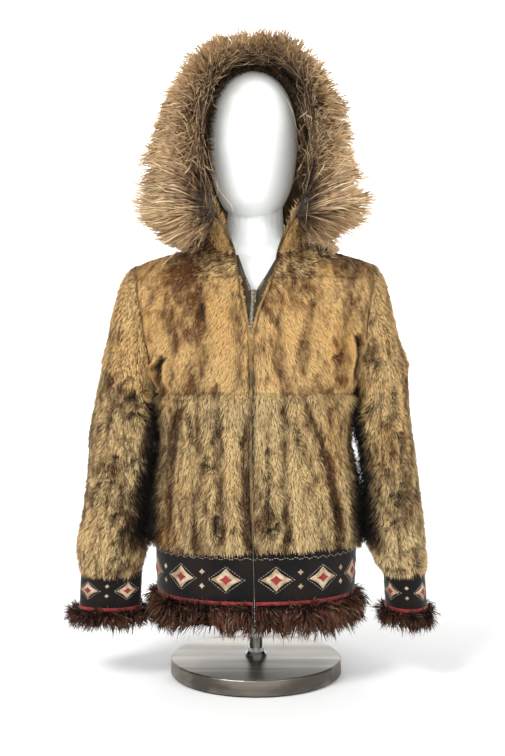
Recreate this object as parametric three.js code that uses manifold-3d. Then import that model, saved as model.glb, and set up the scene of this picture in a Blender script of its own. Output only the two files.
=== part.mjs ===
// A hooded, zip-fronted fur parka with a long-haired ruff and decorated bands, shown on a dress form
// with an egg-shaped head, on a pole and a round steel base. Millimetres, +Z up, the wearer faces -Y.
// The wearer's right is -X. The origin is the middle of the base's underside.
import * as THREE from "three";
import Module from "manifold-3d";

const wasm = await Module();
wasm.setup();

// ---- Driving sizes ----
const SEAM_GAP = 0.3; // between two pieces sewn edge to edge
const PELT = 8; // wall of a fur panel: hide and the dense part of the pile
const BAND_WALL = 2.5; // dark hem and cuff bands
const BAND_INSET = 5; // the band's face lies this far inside the fur's face
const TRIM_WALL = 9; // shaggy hem and cuff trim
const TRIM_BULGE = 11; // how far the hem's trim stands out from the band

const BAND_TOP = 228; // lower edge of the body fur
const BAND_BOTTOM = 148;
const PIPING_HEIGHT = 5;
const HEM_BOTTOM = 106;
const CHEST_SEAM = 476; // cross seam of the body, level with the armpits
const YOKE_SEAM = 664; // front and back yoke seam
const SLIDER_Z = 634; // the zip is closed up to here

const BASE_RADIUS = 144;
const BASE_THICKNESS = 25;
const FOOT_THICKNESS = 2.5;
const POLE_RADIUS = 11;
const COLLAR_RADIUS = 18;
const FORM_BOTTOM = 190;

const steel = { color: 0xa5a19a, roughness: 0.28, metalness: 1 };
const furLook = { color: 0x9c7c4c, roughness: 0.95 };
const furLightLook = { color: 0xa89262, roughness: 0.95 };
const ruffLook = { color: 0xa08868, roughness: 0.95 };
const darkFurLook = { color: 0x30231b, roughness: 0.95 };
const trimLook = { color: 0x5a3a2e, roughness: 0.95 };
const bandLook = { color: 0x17110f, roughness: 0.85 };
const hideLook = { color: 0xc9a979, roughness: 0.8 };
const redLook = { color: 0x8c2d2a, roughness: 0.85 };
const tapeLook = { color: 0x3c3026, roughness: 0.85 };
const brassLook = { color: 0xa0906c, roughness: 0.35, metalness: 1 };
const shellLook = { color: 0xeceeeb, roughness: 0.3 };

// ---- Tables ----
// The body: half width, front depth, back depth, the front opening's line and its half gap, by height.
const bodyRows = [
  { z: 100, half: 170, front: 138, back: 128, line: -2, gap: 3 },
  { z: 148, half: 172, front: 139, back: 129, line: -3, gap: 3 },
  { z: 228, half: 175, front: 138, back: 126, line: -5, gap: 3 },
  { z: 295, half: 174, front: 136, back: 121, line: -7, gap: 3 },
  { z: 385, half: 159, front: 128, back: 112, line: -9, gap: 3 },
  { z: 476, half: 167, front: 124, back: 116, line: -9, gap: 3.5 },
  { z: 560, half: 178, front: 119, back: 117, line: -8, gap: 5 },
  { z: 590, half: 182, front: 114, back: 114, line: -8, gap: 9 },
  { z: 620, half: 186, front: 107, back: 108, line: -6, gap: 17 },
  { z: 645, half: 190, front: 98, back: 100, line: -3, gap: 24 },
  { z: 664, half: 192, front: 89, back: 92, line: -1, gap: 28 },
  { z: 700, half: 192, front: 70, back: 74, line: 0, gap: 32 },
];

// Armholes: the shoulder tip, the armpit and half the depth. side is -1 for the wearer's right.
const armholes = {
  right: { side: -1, tipX: -204, tipZ: 690, pitX: -168, pitZ: 477, half: 60 },
  left: { side: 1, tipX: 197, tipZ: 694, pitX: 168, pitZ: 477, half: 60 },
};

// Sleeves, shoulder to fur edge: outer and inner point of each ring, middle and half of its depth.
const sleeveRows = {
  right: [
    { xo: -205, zo: 690, xi: -169, zi: 477, y: 0, half: 60 },
    { xo: -229, zo: 662, xi: -172, zi: 470, y: -1, half: 62 },
    { xo: -240, zo: 622, xi: -173, zi: 463, y: -2, half: 63 },
    { xo: -248, zo: 578, xi: -172.5, zi: 456, y: -3, half: 62 },
    { xo: -261, zo: 528, xi: -171.5, zi: 447, y: -4, half: 60 },
    { xo: -269, zo: 478, xi: -170, zi: 428, y: -6, half: 58 },
    { xo: -280, zo: 412, xi: -168, zi: 396, y: -9, half: 57 },
    { xo: -284, zo: 352, xi: -172, zi: 345, y: -13, half: 57 },
    { xo: -290, zo: 285, xi: -181, zi: 285, y: -17, half: 58 },
    { xo: -300, zo: 226, xi: -182, zi: 226, y: -21, half: 58 },
    { xo: -298, zo: 192, xi: -187, zi: 194, y: -23, half: 50 },
    { xo: -294, zo: 176, xi: -191, zi: 176, y: -24, half: 42 },
  ],
  left: [
    { xo: 198, zo: 694, xi: 169, zi: 477, y: 0, half: 60 },
    { xo: 216, zo: 672, xi: 171.5, zi: 470, y: -1, half: 63 },
    { xo: 226, zo: 632, xi: 172, zi: 463, y: -2, half: 64 },
    { xo: 240, zo: 574, xi: 171.5, zi: 455, y: -3, half: 64 },
    { xo: 258, zo: 524, xi: 170.5, zi: 446, y: -4, half: 63 },
    { xo: 256, zo: 478, xi: 170, zi: 425, y: -7, half: 62 },
    { xo: 264, zo: 410, xi: 175, zi: 394, y: -11, half: 63 },
    { xo: 270, zo: 352, xi: 183, zi: 345, y: -15, half: 64 },
    { xo: 277, zo: 290, xi: 184, zi: 288, y: -20, half: 65 },
    { xo: 284, zo: 226, xi: 187, zi: 226, y: -24, half: 64 },
    { xo: 285, zo: 196, xi: 198, zi: 196, y: -26, half: 58 },
    { xo: 282, zo: 179, xi: 210, zi: 179, y: -27, half: 52 },
  ],
};
const SLEEVE_SEAM = 4 / 11; // share of the rows where the upper sleeve is sewn to the lower
// Cuffs, below the sleeve fur: the band's middle and halves, its top, foot and the trim's end.
const cuffs = {
  right: { x: -242, y: -25, halfX: 51, halfY: 35, top: 176, foot: 121, end: 95, lean: -2, bulge: 15 },
  left: { x: 247, y: -28, halfX: 34, halfY: 48, top: 179, foot: 123, end: 97, lean: 3, bulge: 11 },
};

// Folds of the body. turn: degrees from the front line, to the wearer's left; top and foot: heights.
const bodyFolds = [
  { turn: -14, top: 470, foot: 250, width: 7, depth: 6, lean: 0 },
  { turn: -31, top: 440, foot: 222, width: 6, depth: 6, lean: 4 },
  { turn: -52, top: 460, foot: 300, width: 6, depth: 7, lean: -5 },
  { turn: 15, top: 480, foot: 240, width: 7, depth: 6, lean: 0 },
  { turn: 32, top: 470, foot: 330, width: 6, depth: 6, lean: 5 },
  { turn: 50, top: 450, foot: 222, width: 6, depth: 7, lean: 6 },
  { turn: 104, top: 430, foot: 222, width: 8, depth: 6, lean: 0 },
  { turn: 133, top: 460, foot: 250, width: 8, depth: 7, lean: 3 },
  { turn: 168, top: 450, foot: 222, width: 9, depth: 6, lean: 0 },
  { turn: -106, top: 440, foot: 240, width: 8, depth: 6, lean: 0 },
  { turn: -140, top: 470, foot: 222, width: 8, depth: 7, lean: -4 },
  { turn: -34, top: 610, foot: 500, width: 8, depth: 5, lean: 14 },
  { turn: 36, top: 620, foot: 492, width: 8, depth: 6, lean: -16 },
  { turn: 62, top: 560, foot: 484, width: 6, depth: 6, lean: 4 },
  { turn: -60, top: 560, foot: 484, width: 6, depth: 6, lean: -4 },
];
// Folds across a sleeve. at: share of the rows; turn: degrees from the outer line, front side first.
const sleeveFolds = [
  { at: 0.33, turn: 120, spread: 46, width: 0.022, depth: 5 },
  { at: 0.5, turn: 70, spread: 60, width: 0.02, depth: 5 },
  { at: 0.6, turn: 200, spread: 60, width: 0.022, depth: 5 },
  { at: 0.67, turn: 300, spread: 60, width: 0.022, depth: 5 },
  { at: 0.75, turn: 110, spread: 60, width: 0.018, depth: 6 },
  { at: 0.84, turn: 120, spread: 66, width: 0.018, depth: 7 },
  { at: 0.9, turn: 280, spread: 60, width: 0.018, depth: 5 },
];

// The hood: each ring's free end, its apex and its greatest half width, neck to face.
const hoodRows = [
  { endX: 35, endY: -79, endZ: 702, apexY: 92, apexZ: 782, half: 91 },
  { endX: 46, endY: -82, endZ: 728, apexY: 116, apexZ: 836, half: 97 },
  { endX: 57, endY: -86, endZ: 748, apexY: 132, apexZ: 900, half: 101 },
  { endX: 67, endY: -89, endZ: 764, apexY: 120, apexZ: 972, half: 103 },
  { endX: 75, endY: -91, endZ: 778, apexY: 70, apexZ: 1026, half: 104 },
  { endX: 82, endY: -93, endZ: 788, apexY: 5, apexZ: 1040, half: 103 },
  { endX: 87, endY: -95, endZ: 796, apexY: -58, apexZ: 1030, half: 99 },
];

// The ruff's fur, from the wearer's right end over the crown to the left end: how far it reaches out
// and ahead. Beyond -1 and 1 the hair fans round the strip's end, down to turn degrees.
const ruffRows = [
  { across: -1.3, reach: 30, ahead: 20, behind: 4, turn: 84 },
  { across: -1.2, reach: 56, ahead: 26, behind: 4, turn: 54 },
  { across: -1.1, reach: 118, ahead: 30, behind: 2, turn: 22 },
  { across: -1, reach: 128, ahead: 32, behind: -3, turn: 8 },
  { across: -0.86, reach: 100, ahead: 34, behind: -8, turn: 0 },
  { across: -0.6, reach: 66, ahead: 36, behind: -8, turn: 0 },
  { across: -0.3, reach: 44, ahead: 36, behind: -8, turn: 0 },
  { across: 0, reach: 34, ahead: 34, behind: -8, turn: 0 },
  { across: 0.3, reach: 34, ahead: 36, behind: -8, turn: 0 },
  { across: 0.6, reach: 52, ahead: 36, behind: -8, turn: 0 },
  { across: 0.86, reach: 84, ahead: 34, behind: -8, turn: 0 },
  { across: 1, reach: 124, ahead: 32, behind: -3, turn: 8 },
  { across: 1.1, reach: 126, ahead: 30, behind: 2, turn: 21 },
  { across: 1.2, reach: 66, ahead: 26, behind: 4, turn: 52 },
  { across: 1.3, reach: 32, ahead: 20, behind: 4, turn: 84 },
];
const RUFF_LOCKS = 66;
const RUFF_SEAT = 0.5; // from the hood's front rim

// Dress form: rings by height, and the egg head.
const formRows = [
  { z: 190, x: 148, y: 98, mid: 0 },
  { z: 270, x: 150, y: 102, mid: 0 },
  { z: 385, x: 128, y: 88, mid: 0 },
  { z: 476, x: 138, y: 94, mid: 0 },
  { z: 560, x: 150, y: 90, mid: 0 },
  { z: 610, x: 162, y: 78, mid: 2 },
  { z: 650, x: 168, y: 64, mid: 3 },
  { z: 677.7, x: 164, y: 48, mid: 3 },
  { z: 693.7, x: 150, y: 38, mid: 3 },
  { z: 707.7, x: 122, y: 36, mid: 4 },
  { z: 719, x: 86, y: 39, mid: 6 },
  { z: 729, x: 60, y: 44, mid: 8 },
  { z: 744, x: 50, y: 46, mid: 10 },
  { z: 790, x: 47, y: 46, mid: 12 },
];
const headRows = [
  { z: 764, r: 0 },
  { z: 766, r: 16 },
  { z: 773, r: 35 },
  { z: 786, r: 49.5 },
  { z: 803, r: 58.5 },
  { z: 824, r: 66 },
  { z: 852, r: 71.5 },
  { z: 885, r: 74.2 },
  { z: 915, r: 74 },
  { z: 952, r: 68 },
  { z: 982, r: 55 },
  { z: 1001, r: 38 },
  { z: 1011, r: 20 },
  { z: 1014, r: 0 },
];
const HEAD_DEEPER = 1.24; // head depth over head width
const HEAD_MIDDLE = { x: -5, y: -8 };

// ---- Small helpers ----
const V = (x, y, z) => new THREE.Vector3(x, y, z);
const mix = (a, b, t) => a + (b - a) * t;
const bump = (x, width) => Math.exp(-(x * x) / (2 * width * width));
const rad = THREE.MathUtils.degToRad;

function smooth(low, high, x) {
  return THREE.MathUtils.smoothstep(x, low, high);
}

// A steady pseudo-random number in -1..1 for a whole number.
function scatter(n) {
  const s = Math.sin(n * 127.1 + 11.7) * 43758.5453;
  return 2 * (s - Math.floor(s)) - 1;
}

// A row of a table at t, with each column run through the rows by a Catmull-Rom curve. key is the
// column that t is measured in, or null where t is the share of the rows.
function rowAt(rows, t, key) {
  const last = rows.length - 1;
  let place = t * last;
  if (key) {
    let i = rows.findIndex((row) => row[key] >= t);
    if (i < 0) i = last;
    i = Math.max(i, 1);
    place = i - 1 + (t - rows[i - 1][key]) / (rows[i][key] - rows[i - 1][key]);
  }
  const k = Math.min(Math.max(Math.floor(place), 0), last - 1);
  const f = place - k;
  const made = {};
  for (const name of Object.keys(rows[0])) {
    const p1 = rows[k][name];
    const p2 = rows[k + 1][name];
    const p0 = k > 0 ? rows[k - 1][name] : 2 * p1 - p2;
    const p3 = k + 2 <= last ? rows[k + 2][name] : 2 * p2 - p1;
    const bend = 2 * p0 - 5 * p1 + 4 * p2 - p3;
    const twist = 3 * p1 - p0 - 3 * p2 + p3;
    made[name] = p1 + 0.5 * f * (p2 - p0 + f * (bend + f * twist));
  }
  if (key) made[key] = t;
  return made;
}

// Evenly spaced values from 0 to 1.
function steps(count) {
  return Array.from({ length: count + 1 }, (_, i) => i / count);
}

// ---- Walls ----
// A closed wall between outer(u, v) and the same surface moved in by wall. u and v run 0 to 1, and
// cross(du, dv) faces out, or in with flip. With round, u closes on itself. columns and rows are each
// a count or a list of values. inward may turn the way in near an edge.
function wallOf({ outer, columns, rows, wall, round = false, inward = null, flip = false }) {
  const step = 1e-3;
  const wayIn = (u, v) => {
    const u0 = round ? u - step : Math.max(u - step, 0);
    const u1 = round ? u + step : Math.min(u + step, 1);
    const alongU = outer(u1, v).sub(outer(u0, v));
    const alongV = outer(u, Math.min(v + step, 1)).sub(outer(u, Math.max(v - step, 0)));
    const normal = alongU.cross(alongV).normalize();
    if (!flip) normal.negate();
    return inward ? inward(u, v, normal) : normal;
  };
  const marks = Array.isArray(columns) ? columns : steps(columns);
  const levels = Array.isArray(rows) ? rows : steps(rows);
  const spans = marks.length - 1;
  const tiers = levels.length - 1;
  const across = round ? spans : spans + 1;
  const points = [];
  for (const layer of [0, 1])
    for (let j = 0; j <= tiers; j++)
      for (let i = 0; i < across; i++) {
        const u = marks[i];
        const v = levels[j];
        const p = outer(u, v);
        if (layer) p.addScaledVector(wayIn(u, v), typeof wall === "function" ? wall(u, v) : wall);
        points.push(p.x, p.y, p.z);
      }
  const layerSize = across * (tiers + 1);
  const at = (layer, i, j) => layer * layerSize + j * across + (round ? i % spans : i);
  const faces = [];
  const quad = (a, b, c, d) => faces.push(...(flip ? [a, c, b, a, d, c] : [a, b, c, a, c, d]));
  for (let j = 0; j < tiers; j++)
    for (let i = 0; i < spans; i++) {
      quad(at(0, i, j), at(0, i + 1, j), at(0, i + 1, j + 1), at(0, i, j + 1));
      quad(at(1, i, j), at(1, i, j + 1), at(1, i + 1, j + 1), at(1, i + 1, j));
    }
  for (let i = 0; i < spans; i++) {
    quad(at(0, i, 0), at(1, i, 0), at(1, i + 1, 0), at(0, i + 1, 0));
    quad(at(0, i, tiers), at(0, i + 1, tiers), at(1, i + 1, tiers), at(1, i, tiers));
  }
  if (!round)
    for (let j = 0; j < tiers; j++) {
      quad(at(0, 0, j), at(0, 0, j + 1), at(1, 0, j + 1), at(1, 0, j));
      quad(at(0, spans, j), at(1, spans, j), at(1, spans, j + 1), at(0, spans, j + 1));
    }
  return meshData(points, faces);
}

function meshData(points, faces) {
  return new THREE.BufferGeometry()
    .setAttribute("position", new THREE.Float32BufferAttribute(points, 3))
    .setIndex(faces);
}

// A closed solid lofted through rings of points, with flat or pointed ends.
function loft(rings) {
  const count = rings[0].length;
  const points = rings.flat().flatMap((p) => [p.x, p.y, p.z]);
  const faces = [];
  for (let j = 0; j < rings.length - 1; j++)
    for (let i = 0; i < count; i++) {
      const a = j * count + i;
      const b = j * count + ((i + 1) % count);
      faces.push(a, b, b + count, a, b + count, a + count);
    }
  for (const [ring, first] of [[rings[0], 0], [rings.at(-1), (rings.length - 1) * count]]) {
    const centre = ring.reduce((sum, p) => sum.add(p), V(0, 0, 0)).divideScalar(count);
    const tip = points.length / 3;
    points.push(centre.x, centre.y, centre.z);
    for (let i = 0; i < count; i++) {
      const a = first + i;
      const b = first + ((i + 1) % count);
      faces.push(...(first ? [a, b, tip] : [b, a, tip]));
    }
  }
  return meshData(points, faces);
}

// ---- The body's surface ----
function armholeAt(hole, turn) {
  const away = V(hole.tipX - hole.pitX, 0, hole.tipZ - hole.pitZ).multiplyScalar(0.5);
  const middle = V(hole.tipX + hole.pitX, 0, hole.tipZ + hole.pitZ).multiplyScalar(0.5);
  return {
    point: middle
      .clone()
      .addScaledVector(away, Math.cos(turn))
      .add(V(0, -hole.half * Math.sin(turn), 0)),
    middle,
  };
}

// The panel's side edge at a height: the side seam, or above the armpit the armhole.
function sideEdge(hole, z, half) {
  if (z <= hole.pitZ) return { x: hole.side * half, y: 0 };
  const middle = (hole.tipZ + hole.pitZ) / 2;
  const turn = Math.acos(Math.min((z - middle) / (hole.tipZ - middle), 1));
  const { point } = armholeAt(hole, turn);
  return { x: point.x, y: Math.abs(point.y) };
}

// Degrees from the front line, to the wearer's left, of a place on the body.
function turnOf(x, y) {
  return THREE.MathUtils.radToDeg(Math.atan2(x, -y));
}

function foldDepth(x, y, z) {
  const turn = turnOf(x / 1.3, y);
  let depth = 0;
  for (const fold of bodyFolds) {
    const share = (fold.top - z) / (fold.top - fold.foot);
    const along = smooth(-0.12, 0.3, share) * (1 - smooth(0.75, 1.1, share));
    const off = Math.abs(((turn - fold.turn - fold.lean * (share - 0.5) + 540) % 360) - 180);
    depth += fold.depth * along * (bump(off, fold.width * 0.45) - 0.35 * bump(off, fold.width));
  }
  return depth;
}

// A point of the body's outer face. share: 0 at the middle line, 1 at the side; inset moves it in.
function bodyPoint(hole, back, share, z, inset = 0) {
  const row = rowAt(bodyRows, z, "z");
  const edge = sideEdge(hole, z, row.half);
  const most = rad(mix(90, 66, smooth(hole.pitZ, hole.pitZ + 90, z)));
  const turn = share * most;
  const middleX = back ? 0 : row.line + hole.side * row.gap;
  const depth = back ? row.back : row.front;
  const round = Math.pow(Math.sin(turn) / Math.sin(most), 0.86);
  const x = mix(middleX, edge.x, round);
  const away = mix(depth, edge.y, (1 - Math.cos(turn)) / (1 - Math.cos(most)));
  const y = back ? away : -away;
  const folded = foldDepth(x, y, z) * (1 - smooth(0.9, 1, share)) * smooth(0, 0.05, share + (back ? 1 : 0));
  const pull = inset + folded;
  const out = V(x / row.half ** 2, y / depth ** 2, 0).normalize();
  return V(x, y, z).addScaledVector(out, -pull);
}

// The lower edge of the body fur, uneven as hand-cut fur is, by the share from a middle line.
function furEdge(hole, share) {
  const along = hole.side * share;
  return BAND_TOP + 3.2 * Math.sin(along * 5) + 1.6 * Math.sin(along * 13 + 1) * share;
}

const level = (u, v, normal) => normal.setZ(0).normalize();

// The upper panels' wall is level at the chest seam, and near the armhole it turns to face the
// armhole's middle, so that it meets the sleeve's wall.
function turnToArmhole(hole, back) {
  return (u, v, normal) => {
    const share = back ? Math.abs(2 * u - 1) : u;
    const near = smooth(0.55, 1, share);
    normal.z *= smooth(0, 0.5, v);
    normal.normalize();
    if (near <= 0) return normal;
    const z = mix(CHEST_SEAM, YOKE_SEAM, v);
    const side = back ? (u < 0.5 ? armholes.right : armholes.left) : hole;
    const { middle } = armholeAt(side, 0);
    const p = bodyPoint(side, back, share, z);
    const toMiddle = middle.sub(p).normalize();
    return normal.clone().lerp(toMiddle, near).normalize();
  };
}

// A front panel between two heights. The wearer's right front has its u reversed, so it faces out.
function frontPanel(hole, foot, top, columns, rows, wall, inset, extra = {}) {
  const { from = 0, to = 1, bulge = () => 0, low = null, high = null, inward = null } = extra;
  const outer = (u, v) => {
    const share = mix(from, to, u);
    const z0 = low ? low(hole, share, u) : foot;
    const z1 = high ? high(hole, share, u) : top;
    return bodyPoint(hole, false, share, mix(z0, z1, v), inset - bulge(u, v));
  };
  return wallOf({ outer, columns, rows, wall, flip: hole.side < 0, inward });
}

// A back panel from the wearer's left side seam to the right one.
function backPanel(foot, top, columns, rows, wall, inset, extra = {}) {
  const { bulge = () => 0, low = null, high = null, inward = null, end = 1 } = extra;
  const outer = (u, v) => {
    const across = (2 * u - 1) * end;
    const hole = across < 0 ? armholes.right : armholes.left;
    const share = Math.abs(across);
    const z0 = low ? low(hole, share, u) : foot;
    const z1 = high ? high(hole, share, u) : top;
    return bodyPoint(hole, true, share, mix(z0, z1, v), inset - bulge(u, v));
  };
  return wallOf({ outer, columns, rows, wall, flip: true, inward });
}

const FRONT_COLUMNS = 16;
const BACK_COLUMNS = 26;
const LOWER_ROWS = 8;
const CHEST_ROWS = 8;
const UPPER_COLUMNS = 11; // half of the back's, so that front, back and yoke share their corners
const SIDE_END = 0.9985; // stops a panel just short of the side seam
const UPPER_END = 0.999; // and of the armhole

function bodyPanels() {
  const made = {};
  const lowerTop = CHEST_SEAM - SEAM_GAP / 2;
  const upperFoot = CHEST_SEAM + SEAM_GAP / 2;
  for (const [name, hole] of Object.entries(armholes)) {
    made["front_lower_" + name] = [
      frontPanel(hole, BAND_TOP, lowerTop, FRONT_COLUMNS, LOWER_ROWS, PELT, 0, {
        to: SIDE_END,
        low: furEdge,
        inward: level,
      }),
      furLightLook,
    ];
    made["front_chest_" + name] = [
      frontPanel(hole, upperFoot, YOKE_SEAM - SEAM_GAP, UPPER_COLUMNS, CHEST_ROWS, PELT, 0, {
        to: UPPER_END,
        inward: turnToArmhole(hole, false),
      }),
      furLook,
    ];
  }
  made.back_lower = [
    backPanel(BAND_TOP, lowerTop, BACK_COLUMNS, 6, PELT, 0, { end: SIDE_END, low: furEdge, inward: level }),
    furLightLook,
  ];
  made.back_upper = [
    backPanel(upperFoot, YOKE_SEAM - SEAM_GAP, 2 * UPPER_COLUMNS, 6, PELT, 0, {
      end: UPPER_END,
      inward: turnToArmhole(null, true),
    }),
    furLook,
  ];
  return made;
}

// ---- Yokes, over each shoulder ----
const NECK_SHARE = 3 / UPPER_COLUMNS; // where the yoke begins, along the front yoke seam from the opening
const YOKE_RISE = 66; // height of the shoulder over the yoke seam, at the neck
const YOKE_ROWS = 8;

function yokePoint(hole, across, over) {
  const share = mix(NECK_SHARE, 1, across);
  const front = bodyPoint(hole, false, share, YOKE_SEAM);
  const back = bodyPoint(hole, true, share, YOKE_SEAM);
  const rise = mix(YOKE_RISE, hole.tipZ - YOKE_SEAM, Math.pow(across, 0.68));
  const ahead = 6;
  const wayUp = (isBack) =>
    bodyPoint(hole, isBack, share, YOKE_SEAM)
      .sub(bodyPoint(hole, isBack, share, YOKE_SEAM - ahead))
      .multiplyScalar((4 * rise) / ahead);
  const t = over;
  const h00 = 2 * t ** 3 - 3 * t ** 2 + 1;
  const h10 = t ** 3 - 2 * t ** 2 + t;
  return front
    .multiplyScalar(h00)
    .addScaledVector(wayUp(false), h10)
    .addScaledVector(back, 1 - h00)
    .addScaledVector(wayUp(true), t ** 2 - t ** 3);
}

function yokes() {
  const made = {};
  for (const [name, hole] of Object.entries(armholes)) {
    const { middle } = armholeAt(hole, 0);
    const last = (UPPER_END - NECK_SHARE) / (1 - NECK_SHARE);
    const outer = (u, v) => yokePoint(hole, mix(0.004, last, u), mix(0.004, 0.996, v));
    const inward = (u, v, normal) => {
      const near = smooth(0.55, 1, mix(NECK_SHARE, 1, u));
      normal.x *= smooth(0, 0.4, u);
      normal.normalize();
      const toMiddle = middle.clone().sub(outer(u, v)).normalize();
      return normal.clone().lerp(toMiddle, near).normalize();
    };
    made["yoke_" + name] = [
      wallOf({ outer, columns: 8, rows: YOKE_ROWS, wall: PELT, flip: hole.side < 0, inward }),
      furLook,
    ];
  }
  return made;
}

// ---- Sleeves ----
function sleevePoint(name, turn, share, inset = 0) {
  const row = rowAt(sleeveRows[name], share, null);
  const away = V(row.xo - row.xi, 0, row.zo - row.zi).multiplyScalar(0.5);
  const middle = V(row.xo + row.xi, 2 * row.y, row.zo + row.zi).multiplyScalar(0.5);
  let pull = inset;
  const degrees = THREE.MathUtils.radToDeg(turn);
  for (const fold of sleeveFolds) {
    const flip = name === "left" ? 1 : -1;
    const off = Math.abs(((degrees - fold.turn - (flip < 0 ? 20 : 0) + 540) % 360) - 180);
    const slant = 0.02 * Math.sin(turn + flip);
    const gap = share - fold.at - slant;
    const near = bump(gap, fold.width) - 0.4 * bump(gap, fold.width * 2);
    pull += fold.depth * near * bump(off, fold.spread * 0.6) * smooth(0.02, 0.1, share);
  }
  const reach = 1 - pull / away.length();
  const depth = row.half - pull;
  return middle
    .addScaledVector(away, Math.cos(turn) * reach)
    .add(V(0, -depth * Math.sin(turn), 0));
}

function sleeves() {
  const made = {};
  for (const name of ["right", "left"]) {
    const hole = armholes[name];
    const flip = hole.side < 0;
    const { middle } = armholeAt(hole, 0);
    const part = (from, to, columns, rows, atArmhole) => {
      const outer = (u, v) => sleevePoint(name, u * 2 * Math.PI, mix(from, to, v));
      const inward = (u, v, normal) => {
        if (!atArmhole) normal.z *= 1 - smooth(0.8, 1, v);
        const near = atArmhole ? 1 - smooth(0, 0.25, v) : 0;
        const toMiddle = middle.clone().sub(outer(u, v)).normalize();
        return normal.clone().lerp(toMiddle, near).normalize();
      };
      return wallOf({ outer, columns, rows, wall: PELT, round: true, flip, inward });
    };
    made["sleeve_upper_" + name] = [part(0.0003, SLEEVE_SEAM - 0.0005, 20, 5, true), furLook];
    made["sleeve_lower_" + name] = [part(SLEEVE_SEAM + 0.0005, 1, 20, 11, false), furLightLook];
  }
  return made;
}

// ---- Cuffs: band, piping and trim ----
function cuffPoint(cuff, turn, z, out = 0) {
  const lean = (cuff.top - z) * (cuff.lean / 50);
  return V(
    cuff.x + lean + (cuff.halfX + out) * Math.cos(turn),
    cuff.y - (cuff.halfY + out) * Math.sin(turn),
    z,
  );
}

// How ragged the trim's end is at a lock.
function ragged(index, size) {
  return size * (index % 2 ? 1 : -0.6) + size * 0.8 * scatter(index);
}

function cuffParts() {
  const made = {};
  for (const [name, cuff] of Object.entries(cuffs)) {
    const around = (point, columns, rows, wall) => {
      const outer = (u, v) => point(u * 2 * Math.PI, v);
      return wallOf({ outer, columns, rows, wall, round: true, inward: level });
    };
    const fur = 28;
    made["cuff_band_" + name] = [
      around(
        (t, v) => cuffPoint(cuff, t, mix(cuff.top - SEAM_GAP, cuff.foot + SEAM_GAP, v)),
        24,
        1,
        BAND_WALL,
      ),
      bandLook,
    ];
    made["cuff_piping_" + name] = [
      around((t, v) => cuffPoint(cuff, t, mix(cuff.foot, cuff.foot - PIPING_HEIGHT, v), 1.2), 24, 1, 3),
      redLook,
    ];
    const top = cuff.foot - PIPING_HEIGHT - SEAM_GAP;
    made["cuff_trim_" + name] = [
      around(
        (t, v) => {
          const index = Math.round((t / (2 * Math.PI)) * fur) % fur;
          const end = cuff.end + ragged(index, 2.2);
          const round = Math.sin(Math.PI * Math.min(v * 0.75 + 0.22, 1));
          const swell = cuff.bulge * round + 1.4 * scatter(index + 7);
          return cuffPoint(cuff, t, mix(top, end, v), swell);
        },
        fur,
        3,
        TRIM_WALL,
      ),
      trimLook,
    ];
  }
  return made;
}

// ---- Hem: band, piping and trim, each in two fronts and a back ----
function hemParts() {
  const made = {};
  const bandTop = (hole, share) => furEdge(hole, share) - 2 * SEAM_GAP;
  const pipingTop = BAND_BOTTOM - SEAM_GAP;
  const trimTop = pipingTop - PIPING_HEIGHT - SEAM_GAP;
  const locks = { front: 21, back: 36 };
  const trimLow = (count) => (hole, share, u) => HEM_BOTTOM + ragged(Math.round(u * count), 2.6);
  const trimSwell = (count) => (u, v) => {
    const round = Math.sin(Math.PI * Math.min((1 - v) * 0.75 + 0.22, 1));
    return TRIM_BULGE * round + 1.5 * scatter(Math.round(u * count) + 3);
  };
  for (const [name, hole] of Object.entries(armholes)) {
    const end = { to: SIDE_END };
    made["hem_band_" + name] = [
      frontPanel(hole, BAND_BOTTOM, BAND_TOP, FRONT_COLUMNS, 2, BAND_WALL, BAND_INSET, {
        ...end,
        high: bandTop,
      }),
      bandLook,
    ];
    made["hem_piping_" + name] = [
      frontPanel(hole, pipingTop - PIPING_HEIGHT, pipingTop, 14, 1, 3, BAND_INSET - 1.2, end),
      redLook,
    ];
    made["hem_trim_" + name] = [
      frontPanel(hole, HEM_BOTTOM, trimTop, locks.front, 3, TRIM_WALL, BAND_INSET, {
        to: 0.995,
        low: trimLow(locks.front),
        bulge: trimSwell(locks.front),
        inward: level,
      }),
      trimLook,
    ];
  }
  made.hem_band_back = [
    backPanel(BAND_BOTTOM, BAND_TOP, BACK_COLUMNS, 2, BAND_WALL, BAND_INSET, {
      end: SIDE_END,
      high: bandTop,
    }),
    bandLook,
  ];
  made.hem_piping_back = [
    backPanel(pipingTop - PIPING_HEIGHT, pipingTop, 24, 1, 3, BAND_INSET - 1.2, { end: SIDE_END }),
    redLook,
  ];
  made.hem_trim_back = [
    backPanel(HEM_BOTTOM, trimTop, locks.back, 3, TRIM_WALL, BAND_INSET, {
      end: 0.995,
      low: trimLow(locks.back),
      bulge: trimSwell(locks.back),
      inward: level,
    }),
    trimLook,
  ];
  return made;
}

// ---- Hood ----
// The neckline that the hood is sewn to: front yoke seam, yoke neck edge, back yoke seam.
const NECK_PARTS = { front: 0.8, yoke: 0.3 }; // shares of the half ring where the parts change

function necklinePoint(across) {
  const hole = across < 0 ? armholes.right : armholes.left;
  const share = Math.abs(across);
  if (share > NECK_PARTS.front) {
    const along = (1 - share) / (1 - NECK_PARTS.front);
    return bodyPoint(hole, false, NECK_SHARE * along, YOKE_SEAM);
  }
  if (share > NECK_PARTS.yoke) {
    const over = (NECK_PARTS.front - share) / (NECK_PARTS.front - NECK_PARTS.yoke);
    return yokePoint(hole, 0, over);
  }
  return bodyPoint(hole, true, (NECK_SHARE * share) / NECK_PARTS.yoke, YOKE_SEAM);
}

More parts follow.
